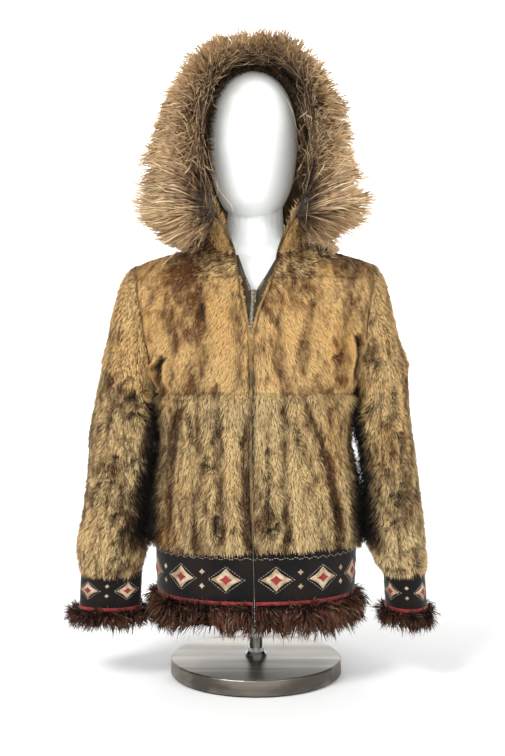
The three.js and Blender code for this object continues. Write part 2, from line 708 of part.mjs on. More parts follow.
function hoodRing(row, across) {
  const squareness = 0.82;
  const power = (x) => Math.sign(x) * Math.abs(x) ** squareness;
  const endTurn = Math.PI - Math.asin(Math.min(row.endX / row.half, 1) ** (1 / squareness));
  const turn = Math.abs(across) * endTurn;
  const along = (power(Math.cos(turn)) - power(Math.cos(endTurn))) / (1 - power(Math.cos(endTurn)));
  const apex = V(0, row.apexY, row.apexZ);
  const point = V(0, row.endY, row.endZ).lerp(apex, along);
  return point.add(V(Math.sign(across) * row.half * power(Math.sin(turn)), 0, 0));
}

// A point of the hood's outer face: across -1 to 1 from the right front edge over to the left one,
// rise 0 to 1 from the neckline to the face.
function hoodPoint(across, rise) {
  const first = 0.16; // share of the rise between the neckline and the first ring
  if (rise >= first) return hoodRing(rowAt(hoodRows, (rise - first) / (1 - first), null), across);
  const low = necklinePoint(across);
  low.z += SEAM_GAP + 0.6;
  return low.lerp(hoodRing(hoodRows[0], across), rise / first);
}

function hoodInward(across, rise) {
  const step = 0.03;
  const clamp = (x, low) => Math.min(Math.max(x, low), 1);
  const right = hoodPoint(clamp(across - step, -1), rise);
  const left = hoodPoint(clamp(across + step, -1), rise);
  const lower = hoodPoint(across, clamp(rise - step, 0));
  const upper = hoodPoint(across, clamp(rise + step, 0));
  const way = left.sub(right).cross(upper.sub(lower)).normalize();
  way.y *= 1 - smooth(0.8, 1, rise); // the rim faces straight ahead
  return way.normalize();
}

// A side panel's columns, from the middle panel to the front edge, with those over the yoke's rows
// where the rows are, so that the two edges lie side by side.
const sideShares = [
  ...steps(YOKE_ROWS).map((t) => mix(NECK_PARTS.yoke + 0.008, NECK_PARTS.front, t)),
  NECK_PARTS.front + 0.0667,
  NECK_PARTS.front + 0.1333,
  1,
];
const HOOD_ROWS = 12;
const mirrored = (places) => places.map((p) => -p).reverse();

// A layer of the hood at the given shares across, between two rises, set in by inset.
function hoodLayer(across, rise, rows, inset, wall) {
  const columns = across.map((p) => (p - across[0]) / (across.at(-1) - across[0]));
  const place = (u, v) => [mix(across[0], across.at(-1), u), mix(rise[0], rise[1], v)];
  const outer = (u, v) => hoodPoint(...place(u, v)).addScaledVector(hoodInward(...place(u, v)), inset);
  const inward = (u, v) => hoodInward(...place(u, v));
  return wallOf({ outer, columns, rows, wall, flip: true, inward });
}

function hoodParts() {
  const made = {};
  const panel = (places) => [hoodLayer(places, [0, 1], HOOD_ROWS, 0, PELT), furLook];
  made.hood_side_right = panel(mirrored(sideShares));
  made.hood_middle = panel([-0.3, -0.2, -0.1, 0, 0.1, 0.2, 0.3]);
  made.hood_side_left = panel(sideShares);
  const edge = [0.88, 0.91, 0.94, 0.97, 0.995];
  made.hood_edge_right = [hoodLayer(mirrored(edge), [0.18, 0.5], 7, -5.4, 5), hideLook];
  made.hood_edge_left = [hoodLayer(edge, [0.18, 0.5], 7, -5.4, 5), hideLook];
  return made;
}

// ---- Ruff: a long-haired strip round the face, and the dark short fur just inside it ----
// The strip's place, its way out from the face and its way round the face, at a share across.
function stripFrame(across, turn) {
  const step = 0.01;
  const face = hoodRows.at(-1);
  const share = Math.min(Math.max(across, -1), 1);
  const before = hoodRing(face, Math.max(share - step, -1));
  const after = hoodRing(face, Math.min(share + step, 1));
  const along = after.sub(before).normalize();
  const out = V(-along.z, 0, along.x).normalize();
  const pivot = 13; // the fan at each end turns about a point this far inside the strip
  const here = hoodRing(face, share).addScaledVector(out, -pivot);
  out.applyAxisAngle(V(0, 1, 0), Math.sign(across) * rad(turn));
  return { here: here.addScaledVector(out, pivot), out };
}

function ruffRing(across, index) {
  const row = rowAt(ruffRows, across, "across");
  const { here, out } = stripFrame(across, row.turn);
  const tuft = index % 2 ? 1.03 : 0.93;
  const reach = row.reach * (tuft + 0.05 * scatter(index));
  const place = (outward, ahead) => here.clone().addScaledVector(out, outward).add(V(0, -ahead, 0));
  return [
    place(1.5, RUFF_SEAT),
    place(-7, RUFF_SEAT),
    place(-10, 11),
    place(-3, row.ahead * 0.8),
    place(reach * 0.25, row.ahead * 1.1),
    place(reach * 0.6, row.ahead * (0.95 + 0.1 * scatter(index + 31))),
    place(reach, row.ahead * 0.35),
    place(reach * 0.75, row.behind * 0.5),
    place(reach * 0.42, row.behind),
    place(12, Math.min(row.behind, 0)),
  ];
}

function ruffParts() {
  const rings = [];
  for (let i = 0; i <= RUFF_LOCKS; i++) {
    const across = mix(-1.3, 1.3, i / RUFF_LOCKS);
    const ring = ruffRing(across, i);
    if (i === 0 || i === RUFF_LOCKS) {
      const middle = ring.reduce((sum, p) => sum.add(p), V(0, 0, 0)).divideScalar(ring.length);
      ring.forEach((p) => p.lerp(middle, 0.35));
    }
    rings.push(ring);
  }
  const half = sideShares.slice(0, -1);
  const inner = [...mirrored(half), -0.2, -0.1, 0, 0.1, 0.2, ...half];
  return {
    ruff: [loft(rings.reverse()), ruffLook],
    hood_inner_fur: [hoodLayer(inner, [1 - 1 / HOOD_ROWS, 0.99], 1, PELT + 1, 7), darkFurLook],
  };
}

// ---- Front edge bindings, zip tapes and chain ----
const BINDING = { width: 4, wall: 3.4 };
const TAPE = { width: 17, wall: 1.6, behind: PELT + 0.8 };
const CHAIN = { width: 5, wall: 2.4, ahead: 0.8 };

// The teeth's line: closed below the slider, and spreading above it to the neckline.
function teethLine(z) {
  const row = rowAt(bodyRows, z, "z");
  return { middle: row.line, half: z < SLIDER_Z ? 0.4 : 0.4 + (z - SLIDER_Z) * 0.52 };
}

function frontDepth(z) {
  return rowAt(bodyRows, z, "z").front;
}

function openingParts() {
  const made = {};
  // The bindings' corners are at the heights of the fronts' corners.
  const bindingLevels = [
    HEM_BOTTOM + 6,
    BAND_BOTTOM,
    ...steps(LOWER_ROWS).map((t) => mix(BAND_TOP, CHEST_SEAM, t)),
    ...steps(CHEST_ROWS).slice(1).map((t) => mix(CHEST_SEAM, YOKE_SEAM - SEAM_GAP, t)),
  ];
  const bindingFoot = bindingLevels[0];
  const bindingRows = bindingLevels.map((z) => (z - bindingFoot) / (bindingLevels.at(-1) - bindingFoot));
  for (const [name, hole] of Object.entries(armholes)) {
    const flip = hole.side < 0;
    const binding = (u, v) => {
      const z = mix(bindingLevels[0], bindingLevels.at(-1), v);
      const row = rowAt(bodyRows, z, "z");
      const edge = row.line + hole.side * (row.gap - SEAM_GAP);
      const slim = Math.min(BINDING.width, row.gap - 0.8);
      return V(edge - hole.side * slim * (1 - u), -row.front + 1.5, z);
    };
    made["front_binding_" + name] = [
      wallOf({
        outer: binding,
        columns: 1,
        rows: bindingRows,
        wall: BINDING.wall,
        flip,
        inward: () => V(0, 1, 0),
      }),
      hideLook,
    ];
    const tape = (u, v) => {
      const z = mix(BAND_BOTTOM + 4, YOKE_SEAM - 2, v);
      const { middle, half } = teethLine(z);
      const x = middle + hole.side * (half + u * TAPE.width);
      return V(x, -frontDepth(z) + TAPE.behind + Math.abs(x - middle) * 0.05, z);
    };
    made["zip_tape_" + name] = [
      wallOf({ outer: tape, columns: 1, rows: 16, wall: TAPE.wall, flip, inward: () => V(0, 1, 0) }),
      tapeLook,
    ];
  }
  const chain = (u, v) => {
    const z = mix(BAND_BOTTOM + 6, SLIDER_Z - 8, v);
    const { middle } = teethLine(z);
    return V(middle + (u - 0.5) * CHAIN.width, -frontDepth(z) + TAPE.behind - CHAIN.ahead - CHAIN.wall, z);
  };
  made.zip_chain = [
    wallOf({ outer: chain, columns: 1, rows: 14, wall: CHAIN.wall, inward: () => V(0, 1, 0) }),
    brassLook,
  ];
  return made;
}

// ---- Slider and pull ----
const SLIDER = { width: 9, height: 11, depth: 4.6 };
const BRIDGE = { width: 2.2, reach: 3.6, height: 8, eye: 1.1 };
const PIVOT_UP = 1.6; // the pull's pivot over the slider's middle
const PULL = { width: 7, length: 20, thickness: 1.2, bar: 0.6, window: 6.4, windowWidth: 3.4 };

function solidOf(geometry) {
  const position = geometry.getAttribute("position");
  const index = new Map();
  const points = [];
  const faces = [];
  const count = geometry.index ? geometry.index.count : position.count;
  for (let i = 0; i < count; i++) {
    const k = geometry.index ? geometry.index.getX(i) : i;
    const p = [position.getX(k), position.getY(k), position.getZ(k)];
    const key = p.map((c) => Math.round(c * 1e4)).join();
    if (!index.has(key)) {
      index.set(key, points.length / 3);
      points.push(...p);
    }
    faces.push(index.get(key));
  }
  const kept = [];
  for (let i = 0; i < faces.length; i += 3) {
    const [a, b, c] = faces.slice(i, i + 3);
    if (a !== b && b !== c && a !== c) kept.push(a, b, c);
  }
  const data = { numProp: 3, vertProperties: new Float32Array(points), triVerts: new Uint32Array(kept) };
  return new wasm.Manifold(new wasm.Mesh(data));
}

function geometryOf(solid) {
  const made = solid.getMesh();
  const points = [];
  for (let i = 0; i < made.numVert; i++)
    points.push(...made.vertProperties.subarray(i * made.numProp, i * made.numProp + 3));
  return meshData(points, Array.from(made.triVerts));
}

function boxAt(width, depth, height, x, y, z) {
  return solidOf(new THREE.BoxGeometry(width, depth, height).translate(x, y, z));
}

// The slider and pull are made upright about the slider's middle, then laid on the sloping chest.
function zipFittings() {
  const { middle } = teethLine(SLIDER_Z);
  const slope = Math.atan((frontDepth(SLIDER_Z - 10) - frontDepth(SLIDER_Z + 10)) / 20);
  const layOn = (solid) =>
    geometryOf(solid)
      .rotateX(-slope)
      .translate(middle, -frontDepth(SLIDER_Z) + TAPE.behind - CHAIN.ahead, SLIDER_Z);
  const faceY = -SLIDER.depth;
  const pivotY = faceY - BRIDGE.reach / 2;
  const body = boxAt(SLIDER.width, SLIDER.depth, SLIDER.height, 0, faceY / 2, 0);
  const bridge = boxAt(BRIDGE.width, BRIDGE.reach + 1, BRIDGE.height, 0, pivotY + 0.5, 0);
  const eye = solidOf(
    new THREE.CylinderGeometry(BRIDGE.eye, BRIDGE.eye, 8, 20)
      .rotateZ(Math.PI / 2)
      .translate(0, pivotY, PIVOT_UP),
  );
  const slider = body.add(bridge).subtract(eye);

  const plateZ = PIVOT_UP + PULL.bar - PULL.length / 2;
  const plate = boxAt(PULL.width, PULL.thickness, PULL.length, 0, pivotY, plateZ);
  const windowZ = PIVOT_UP - PULL.bar - PULL.window / 2;
  const windowCut = boxAt(PULL.windowWidth, 4, PULL.window, 0, pivotY, windowZ);
  const endHole = solidOf(
    new THREE.CylinderGeometry(1.5, 1.5, 6, 20).translate(0, pivotY, PIVOT_UP - PULL.length + 4.4),
  );
  const pull = plate.subtract(windowCut).subtract(endHole);
  return { zip_slider: [layOn(slider), brassLook], zip_pull: [layOn(pull), brassLook] };
}

// ---- Dress form and stand ----
const ROUND = 24;

function ringOf(x, y, middleX, middleY, z) {
  return Array.from({ length: ROUND }, (_, i) => {
    const turn = (i / ROUND) * 2 * Math.PI;
    return V(middleX + x * Math.cos(turn), middleY + y * Math.sin(turn), z);
  });
}

function dressForm() {
  const torsoRings = [];
  for (const row of formRows) {
    const lean = (-1.2 * (row.z - FORM_BOTTOM)) / (formRows.at(-1).z - FORM_BOTTOM);
    torsoRings.push(ringOf(row.x, row.y, lean, row.mid, row.z));
  }
  const headRings = [];
  for (const row of headRows.slice(1, -1))
    headRings.push(ringOf(row.r, row.r * HEAD_DEEPER, HEAD_MIDDLE.x, HEAD_MIDDLE.y, row.z));
  const form = solidOf(loft(torsoRings)).add(solidOf(loft(headRings)));
  const socket = solidOf(
    new THREE.CylinderGeometry(POLE_RADIUS + SEAM_GAP, POLE_RADIUS + SEAM_GAP, 80, 32)
      .rotateX(Math.PI / 2)
      .translate(0, 0, FORM_BOTTOM + 20),
  );
  return geometryOf(form.subtract(socket));
}

function lathe(profile, segments = 48) {
  const outline = profile.map(([r, z]) => new THREE.Vector2(r, z));
  return new THREE.LatheGeometry(outline, segments).rotateX(Math.PI / 2);
}

function standParts() {
  const top = FOOT_THICKNESS + SEAM_GAP + BASE_THICKNESS;
  const foot = FOOT_THICKNESS + SEAM_GAP;
  const poleFoot = top + SEAM_GAP;
  const poleTop = FORM_BOTTOM + 20 + 40 - SEAM_GAP;
  const bevel = 2;
  const footRing = lathe([
    [0, 0], [BASE_RADIUS - 5, 0], [BASE_RADIUS - 4, FOOT_THICKNESS], [0, FOOT_THICKNESS],
  ], 48);
  const plate = lathe([
    [0, foot], [BASE_RADIUS - 1, foot], [BASE_RADIUS, foot + 1], [BASE_RADIUS, top - bevel],
    [BASE_RADIUS - bevel * 0.4, top - bevel * 0.4], [BASE_RADIUS - bevel, top], [0, top],
  ]);
  const pole = lathe([
    [0, poleFoot], [POLE_RADIUS, poleFoot], [POLE_RADIUS, poleTop], [0, poleTop],
  ], 32);
  const inner = POLE_RADIUS + SEAM_GAP;
  const collar = lathe([
    [inner, poleFoot], [COLLAR_RADIUS, poleFoot], [COLLAR_RADIUS, poleFoot + 4],
    [COLLAR_RADIUS - 2, poleFoot + 6], [inner + 2, poleFoot + 8], [inner + 1, poleFoot + 14],
    [inner, poleFoot + 14], [inner, poleFoot],
  ], 24);
  return {
    stand_foot_pad: [footRing, { color: 0x151515, roughness: 0.9 }],
    stand_base: [plate, steel],
    stand_pole: [pole, steel],
    stand_collar: [collar, steel],
  };
}

// ---- The whole ----
const parka = new THREE.Group();
const pieces = {
  ...bodyPanels(),
  ...yokes(),
  ...sleeves(),
  ...cuffParts(),
  ...hemParts(),
  ...hoodParts(),
  ...ruffParts(),
  ...openingParts(),
  ...zipFittings(),
  ...standParts(),
  dress_form: [dressForm(), shellLook],
};
for (const [name, [geometry, look]] of Object.entries(pieces)) {
  const mesh = new THREE.Mesh(geometry, new THREE.MeshStandardMaterial(look));
  mesh.name = name;
  parka.add(mesh);
}

export default parka;
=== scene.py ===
import math
import bmesh
import bpy
import numpy as np
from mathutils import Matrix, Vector, noise
from mathutils.bvhtree import BVHTree
from mathutils.kdtree import KDTree


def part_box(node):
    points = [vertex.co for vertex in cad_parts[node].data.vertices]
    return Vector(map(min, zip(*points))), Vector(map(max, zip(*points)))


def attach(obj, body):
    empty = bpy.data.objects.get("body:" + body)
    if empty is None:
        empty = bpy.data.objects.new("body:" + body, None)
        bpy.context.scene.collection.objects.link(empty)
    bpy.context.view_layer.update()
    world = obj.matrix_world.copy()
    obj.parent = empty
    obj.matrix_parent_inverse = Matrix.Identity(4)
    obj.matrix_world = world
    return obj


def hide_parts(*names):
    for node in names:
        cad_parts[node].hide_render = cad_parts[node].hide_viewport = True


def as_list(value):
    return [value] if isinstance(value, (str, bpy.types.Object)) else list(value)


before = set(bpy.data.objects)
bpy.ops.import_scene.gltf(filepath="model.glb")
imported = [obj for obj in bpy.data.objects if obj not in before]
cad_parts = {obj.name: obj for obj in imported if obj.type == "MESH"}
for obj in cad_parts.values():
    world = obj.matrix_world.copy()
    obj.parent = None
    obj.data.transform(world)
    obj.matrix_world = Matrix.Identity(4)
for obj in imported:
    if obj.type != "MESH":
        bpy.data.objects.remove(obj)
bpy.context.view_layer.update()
print("frame loaded:", len(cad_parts), "nodes")

# Lengths below are millimetres unless a note says otherwise; mm turns them into Blender's metres.
mm = 0.001
meshes, scene = bpy.data.meshes, bpy.context.scene


def srgb(*colour):
    # 0 to 255 as seen on screen, to the linear values that shaders take
    shares = [v / 255 for v in colour]
    return tuple(v / 12.92 if v <= 0.04045 else ((v + 0.055) / 1.055) ** 2.4 for v in shares) + (1.0,)


def linkNew(name, data):
    made = bpy.data.objects.new(name, data)
    scene.collection.objects.link(made)
    return made


# ---- camera, floor and light

view = {"place": (-0.006, -1.7, 0.499), "focalPixels": 1000, "tall": 756, "sensor": 36}
studio = {
    "floorReach": 9.0, "sweepStart": 3.2, "sweepRadius": 1.5, "wallHeight": 5.2,  # in metres; the floor turns up
    "sweepSteps": 12, "floorTone": (0.93, 0.93, 0.93, 1), "floorRough": 0.9, "floorGloss": 0.1,
    "worldTone": (1, 1, 1, 1), "worldStrength": 0.5,
}
# lamps: place, aim, size in metres, watts
lamps = {
    "key": ((-1.7, -2.3, 2.7), (0, 0, 0.5), 1.3, 92),
    "fill": ((2.3, -2.2, 1.9), (0, 0, 0.5), 1.8, 44),
    "front": ((0.0, -3.4, 1.0), (0, 0, 0.5), 2.2, 28),
    "backdrop": ((0.0, 2.3, 3.4), (0, 4.7, 1.6), 3.4, 240),
}


def addCamera():
    data = bpy.data.cameras.new("camera")
    data.sensor_width = view["sensor"]
    data.lens = view["sensor"] * view["focalPixels"] / view["tall"]
    data.clip_start = 0.05
    scene.camera = linkNew("camera", data)
    scene.camera.location = view["place"]
    scene.camera.rotation_euler = (math.pi / 2, 0, 0)


def addStage():
    reach, start, radius = studio["floorReach"], studio["sweepStart"], studio["sweepRadius"]
    profile = [(-reach, 0.0), (start, 0.0)]
    for i in range(studio["sweepSteps"]):
        turn = math.pi / 2 * (i + 1) / studio["sweepSteps"]
        profile.append((start + radius * math.sin(turn), radius * (1 - math.cos(turn))))
    profile.append((start + radius, studio["wallHeight"]))
    verts = [(side * reach, y, z) for y, z in profile for side in (-1, 1)]
    mesh = meshes.new("studioFloor")
    mesh.from_pydata(verts, [], [(i, i + 1, i + 3, i + 2) for i in range(0, len(verts) - 2, 2)])
    material, shader = newMaterial("studioPaper")
    setInputs(shader, {"Base Color": studio["floorTone"], "Roughness": studio["floorRough"],
                       "Specular IOR Level": studio["floorGloss"]})
    linkNew("studioFloor", coated(mesh, material))


def addLights():
    for name, (place, aim, size, watts) in lamps.items():
        data = bpy.data.lights.new(name + "Light", "AREA")
        data.shape, data.size, data.energy = "DISK", size, watts
        lamp = linkNew(name + "Light", data)
        lamp.location = place
        lamp.rotation_euler = (Vector(aim) - Vector(place)).to_track_quat("-Z", "Y").to_euler()
    scene.world = bpy.data.worlds.new("studioWorld")
    scene.world.use_nodes = True
    setInputs(scene.world.node_tree.nodes["Background"],
              {"Color": studio["worldTone"], "Strength": studio["worldStrength"]})
    scene.view_settings.view_transform = "Standard"


# ---- small helpers for materials, node trees and meshes

def setInputs(node, values):
    # values: name or number of an input -> a value, or the output that feeds it
    for key, value in values.items():
        if isinstance(value, bpy.types.NodeSocket):
            node.id_data.links.new(value, node.inputs[key])
        else:
            node.inputs[key].default_value = value


def newMaterial(name):
    material = bpy.data.materials.new(name)
    material.use_nodes = True
    return material, material.node_tree.nodes["Principled BSDF"]


def addNode(tree, kind, sockets=None, **settings):
    node = tree.nodes.new(kind)
    for name, value in settings.items():
        setattr(node, name, value)
    setInputs(node, sockets or {})
    return node


def newGroup(name, kind, inputs, outputs):
    # inputs and outputs: name -> starting value, or the last word of a socket's type
    group = bpy.data.node_groups.new(name, kind)
    for direction, rows in (("INPUT", inputs), ("OUTPUT", outputs)):
        for label, value in rows.items():
            plain = {float: "Float", int: "Int", tuple: "Vector"}.get(type(value))
            socket = group.interface.new_socket(label, in_out=direction, socket_type="NodeSocket" + (plain or value))
            if plain:
                socket.default_value = value
    return group, group.nodes.new("NodeGroupInput").outputs, group.nodes.new("NodeGroupOutput").inputs


def calculator(tree):
    # arithmetic on numbers and on vectors, with two values or more in turn, and a vector times a number
    def folding(kind):
        def fold(operation, first, *others, clamp=False):
            for other in others or (0,):
                node = addNode(tree, kind, {0: first, 1: other} if others else {0: first}, operation=operation)
                first = node.outputs[0]
            if clamp:
                node.use_clamp = True
            return first
        return fold

    def scaled(a, amount):
        return addNode(tree, "ShaderNodeVectorMath", {0: a, "Scale": amount}, operation="SCALE").outputs[0]

    return folding("ShaderNodeMath"), folding("ShaderNodeVectorMath"), scaled


def mixColour(tree, share, a, b, blend="MIX"):
    node = addNode(tree, "ShaderNodeMix", data_type="RGBA", blend_type=blend)
    setInputs(node, {0: share, 6: a, 7: b})
    return node.outputs[2]


def ramp(tree, value, low, high, lowOut=0.0, highOut=1.0):
    sockets = {"Value": value, "From Min": low, "From Max": high, "To Min": lowOut, "To Max": highOut}
    return addNode(tree, "ShaderNodeMapRange", sockets, interpolation_type="SMOOTHSTEP").outputs[0]


def smoothed(mesh):
    mesh.polygons.foreach_set("use_smooth", [True] * len(mesh.polygons))
    return mesh


def coated(mesh, material):
    # one material all over, rounded shading
    mesh.materials.clear()
    mesh.materials.append(material)
    return smoothed(mesh)


def toMesh(shell, name, recalculate=False):
    if recalculate:
        bmesh.ops.recalc_face_normals(shell, faces=shell.faces)
    mesh = meshes.new(name)
    shell.to_mesh(mesh)
    shell.free()
    return mesh


def joinRings(shell, rings, closed=True):
    # quads between rings of as many corners, and an end face on both ends
    count = len(rings[0])
    for low, high in zip(rings, rings[1:]):
        for i in range(count):
            shell.faces.new((low[i], low[(i + 1) % count], high[(i + 1) % count], high[i]))
    if closed:
        shell.faces.new(rings[0][::-1])
        shell.faces.new(rings[-1])


def readPoints(mesh):
    found = []
    for what in ("co", "normal"):
        values = np.zeros(len(mesh.vertices) * 3, np.float32)
        mesh.vertices.foreach_get(what, values)
        found.append(values.reshape(-1, 3).astype(float))
    return found


def setPoints(mesh, p):
    mesh.vertices.foreach_set("co", p.astype(np.float32).ravel())
    mesh.update()


def putFields(mesh, **fields):
    # name -> a number or a vector for each point, or one number for all
    for name, values in fields.items():
        values = np.asarray(values, float)
        vector = values.ndim == 2
        layer = mesh.attributes.new(name, "FLOAT_VECTOR" if vector else "FLOAT", "POINT")
        shape = (len(mesh.vertices), 3) if vector else (len(mesh.vertices),)
        layer.data.foreach_set("vector" if vector else "value", np.broadcast_to(values, shape).ravel())


def unit(vectors):
    return vectors / np.maximum(np.linalg.norm(vectors, axis=1, keepdims=True), 1e-9)


def rise(values, low, high):
    # 0 at low, 1 at high, straight between and flat beyond
    return np.clip((values - low) / (high - low), 0, 1)


def bell(far, reach):
    return np.exp(-(far / reach) ** 2)


def runTree(name, holder, tree, values):
    # values: the tree's input names -> values; returns the result as a plain mesh's object
    modifier = holder.modifiers.new("made", "NODES")
    modifier.node_group = tree
    for item in tree.interface.items_tree:
        if item.in_out == "INPUT" and item.name in values:
            modifier[item.identifier] = values[item.name]
    holder.update_tag()
    graph = bpy.context.evaluated_depsgraph_get()
    mesh = meshes.new_from_object(holder.evaluated_get(graph), depsgraph=graph)
    mesh.name = name
    bpy.data.objects.remove(holder)
    return linkNew(name, mesh)


def realized(tree, points, shape, rotation, size):
    # copies of a template on points, as real geometry
    template = addNode(tree, "GeometryNodeObjectInfo", {"Object": shape}).outputs["Geometry"]
    placed = addNode(tree, "GeometryNodeInstanceOnPoints",
                     {"Points": points, "Instance": template, "Rotation": rotation, "Scale": size})
    return addNode(tree, "GeometryNodeRealizeInstances", {"Geometry": placed.outputs[0]}).outputs[0]


def finished(tree, geometry, start, end):
    done = addNode(tree, "GeometryNodeSetMaterial", {"Geometry": geometry, "Material": start["Finish"]})
    tree.links.new(done.outputs[0], end["Geometry"])
    return tree


addCamera()
addStage()
addLights()
print("camera, floor and lights set")


# ---- hair: one strand, and the tree that grows a coat of them on a skin

# what a coat is grown by, in metres and radians; each row of sizes below gives values in this order, and a short
# row leaves the last ones as they are here
coatInputs = {
    "Hairs per square metre": 300000.0, "Hair length": 0.015, "Hair width": 0.0012, "Lift": 0.35, "Lift spread": 0.2,
    "Stray": 0.5, "Stray per metre": 40.0, "Tuft size": 0.012, "Tuft pull": 0.5, "Wave": 0.1, "Droop": 0.2,
    "Shortest": 0.62, "Longest": 1.08, "Curl": 0.0, "Curls per metre": 40.0,
}


def strandTemplate(name, stations):
    # stations: (share of the length, half width), from root to tip; a width of 0 is one point
    verts, along, rings = [], [], []
    for share, half in stations:
        sides = (0,) if half == 0 else (-half, half)
        rings.append([len(verts) + i for i in range(len(sides))])
        verts += [(side, share, 0) for side in sides]
        along += [share] * len(sides)
    faces = [low + high[::-1] for low, high in zip(rings, rings[1:])]
    mesh = meshes.new(name)
    mesh.from_pydata(verts, [], faces)
    putFields(mesh, along=along)
    return linkNew(name, mesh)


def live(sockets, *names):
    return [s for s in sockets if s.enabled and (not names or s.name in names)]


def randomValue(tree, low, high, seed):
    kind = "FLOAT_VECTOR" if isinstance(low, tuple) else "FLOAT"
    node = addNode(tree, "FunctionNodeRandomValue", {"Seed": seed}, data_type=kind)
    for socket, value in zip(live(node.inputs, "Min", "Max"), (low, high)):
        socket.default_value = value
    return live(node.outputs)[0]


def named(tree, name, kind="FLOAT"):
    node = addNode(tree, "GeometryNodeInputNamedAttribute", {"Name": name}, data_type=kind)
    return live(node.outputs, "Attribute")[0]


def keepNamed(tree, geometry, name, value, kind):
    node = addNode(tree, "GeometryNodeStoreNamedAttribute", {"Geometry": geometry, "Name": name},
                   data_type=kind, domain="POINT")
    tree.links.new(value, live(node.inputs, "Value")[0])
    return node.outputs["Geometry"]


def buildCoatTree():
    tree, start, end = newGroup(
        "growCoat", "GeometryNodeTree",
        {"Geometry": "Geometry", "Strand": "Object", **coatInputs, "Seed": 1, "Finish": "Material"},
        {"Geometry": "Geometry"})
    number, vector, scaled = calculator(tree)
    seed = start["Seed"]
    density = number("MULTIPLY", start["Hairs per square metre"], named(tree, "growth"))
    roots = addNode(tree, "GeometryNodeDistributePointsOnFaces",
                    {"Mesh": start["Geometry"], "Density": density, "Seed": seed})
    normal = roots.outputs["Normal"]
    place = addNode(tree, "GeometryNodeInputPosition").outputs[0]

    # a noise vector from -1 to 1 that changes slowly over the skin
    def drift(perMetre):
        made = addNode(tree, "ShaderNodeTexNoise", {"Vector": place, "Scale": perMetre, "Detail": 1.5})
        return scaled(vector("SUBTRACT", made.outputs["Color"], (0.5, 0.5, 0.5)), 3.0)

    # hairs of one tuft lean to the tuft's middle
    cell = addNode(tree, "ShaderNodeTexVoronoi",
                   {"Vector": scaled(place, number("DIVIDE", 1.0, start["Tuft size"])), "Scale": 1.0})
    middle = scaled(cell.outputs["Position"], start["Tuft size"])
    toMiddle = scaled(vector("SUBTRACT", middle, place), start["Tuft pull"])

    stray = scaled(drift(start["Stray per metre"]), start["Stray"])
    single = randomValue(tree, (-0.16, -0.16, -0.16), (0.16, 0.16, 0.16), seed)
    wanted = vector("ADD", named(tree, "lay", "FLOAT_VECTOR"), stray, single)
    upright = addNode(tree, "ShaderNodeVectorMath", {0: wanted, 1: normal}, operation="DOT_PRODUCT")
    flat = vector("NORMALIZE", vector("SUBTRACT", wanted, scaled(normal, upright.outputs["Value"])))
    spread = number("MULTIPLY", randomValue(tree, -1.0, 1.0, number("ADD", seed, 7)), start["Lift spread"])
    lift = number("ADD", start["Lift"], spread, named(tree, "extraLift"))
    axis = vector("ADD", scaled(flat, number("COSINE", lift)), scaled(normal, number("SINE", lift)))

    share = randomValue(tree, 0.0, 1.0, number("ADD", seed, 3))
    spread = number("MULTIPLY", number("SUBTRACT", start["Longest"], start["Shortest"]), share)
    length = number("MULTIPLY", start["Hair length"], named(tree, "hairScale"),
                    number("ADD", start["Shortest"], spread))
    width = number("MULTIPLY", start["Hair width"], randomValue(tree, 0.6, 1.25, number("ADD", seed, 4)))
    size = addNode(tree, "ShaderNodeCombineXYZ", {"X": width, "Y": length, "Z": 1.0}).outputs[0]
    roll = randomValue(tree, (-0.6, -0.6, -0.6), (0.6, 0.6, 0.6), number("ADD", seed, 5))
    turned = addNode(tree, "FunctionNodeAxesToRotation",
                     {"Primary Axis": axis, "Secondary Axis": vector("ADD", normal, roll)},
                     primary_axis="Y", secondary_axis="Z").outputs[0]

    # what the tip is moved by, in metres: to the tuft's middle, along a wave, and down
    wave = scaled(drift(number("MULTIPLY", start["Stray per metre"], 1.7)), number("MULTIPLY", start["Wave"], length))
    down = addNode(tree, "ShaderNodeCombineXYZ", {"Z": number("MULTIPLY", start["Droop"], length, -1.0)})
    bend = vector("ADD", toMiddle, wave, down.outputs[0])
    points = keepNamed(tree, roots.outputs["Points"], "bend", bend, "FLOAT_VECTOR")
    points = keepNamed(tree, points, "tint", randomValue(tree, 0.0, 1.0, number("ADD", seed, 6)), "FLOAT")
    real = realized(tree, points, start["Strand"], turned, size)
    along = named(tree, "along")
    curl = number("MULTIPLY", start["Curl"], along)
    for offset in (scaled(named(tree, "bend", "FLOAT_VECTOR"), number("POWER", along, 1.8)),
                   scaled(drift(start["Curls per metre"]), curl)):
        real = addNode(tree, "GeometryNodeSetPosition", {"Geometry": real, "Offset": offset}).outputs[0]
    return finished(tree, real, start, end)


coatTree = buildCoatTree()
strands = {
    "short": strandTemplate("strandShort", [(0, 0), (0.42, 0.5), (1, 0)]),
    "middle": strandTemplate("strandMiddle", [(0, 0.3), (0.4, 0.5), (0.75, 0.34), (1, 0)]),
    "long": strandTemplate("strandLong", [(0, 0.34), (0.2, 0.5), (0.45, 0.5), (0.7, 0.4), (0.88, 0.24), (1, 0)]),
}
onlyForGrowing = ("bend", "lay", "growth", "hairScale", "extraLift")


def dropFields(mesh, names=onlyForGrowing):
    for name in names:
        if name in mesh.attributes:
            mesh.attributes.remove(mesh.attributes[name])


def grow(name, skin, material, strand, seed, sizes):
    values = dict(zip(coatInputs, map(float, sizes)), Strand=strands[strand], Seed=seed, Finish=material)
    coat = runTree(name, linkNew(name + "Holder", skin), coatTree, values)
    smoothed(coat.data)
    dropFields(coat.data)
    return coat


# the hood's open face
openFace = {"x": -4, "z": 890, "halfWidth": 46, "halfHeight": 112, "behind": -40}


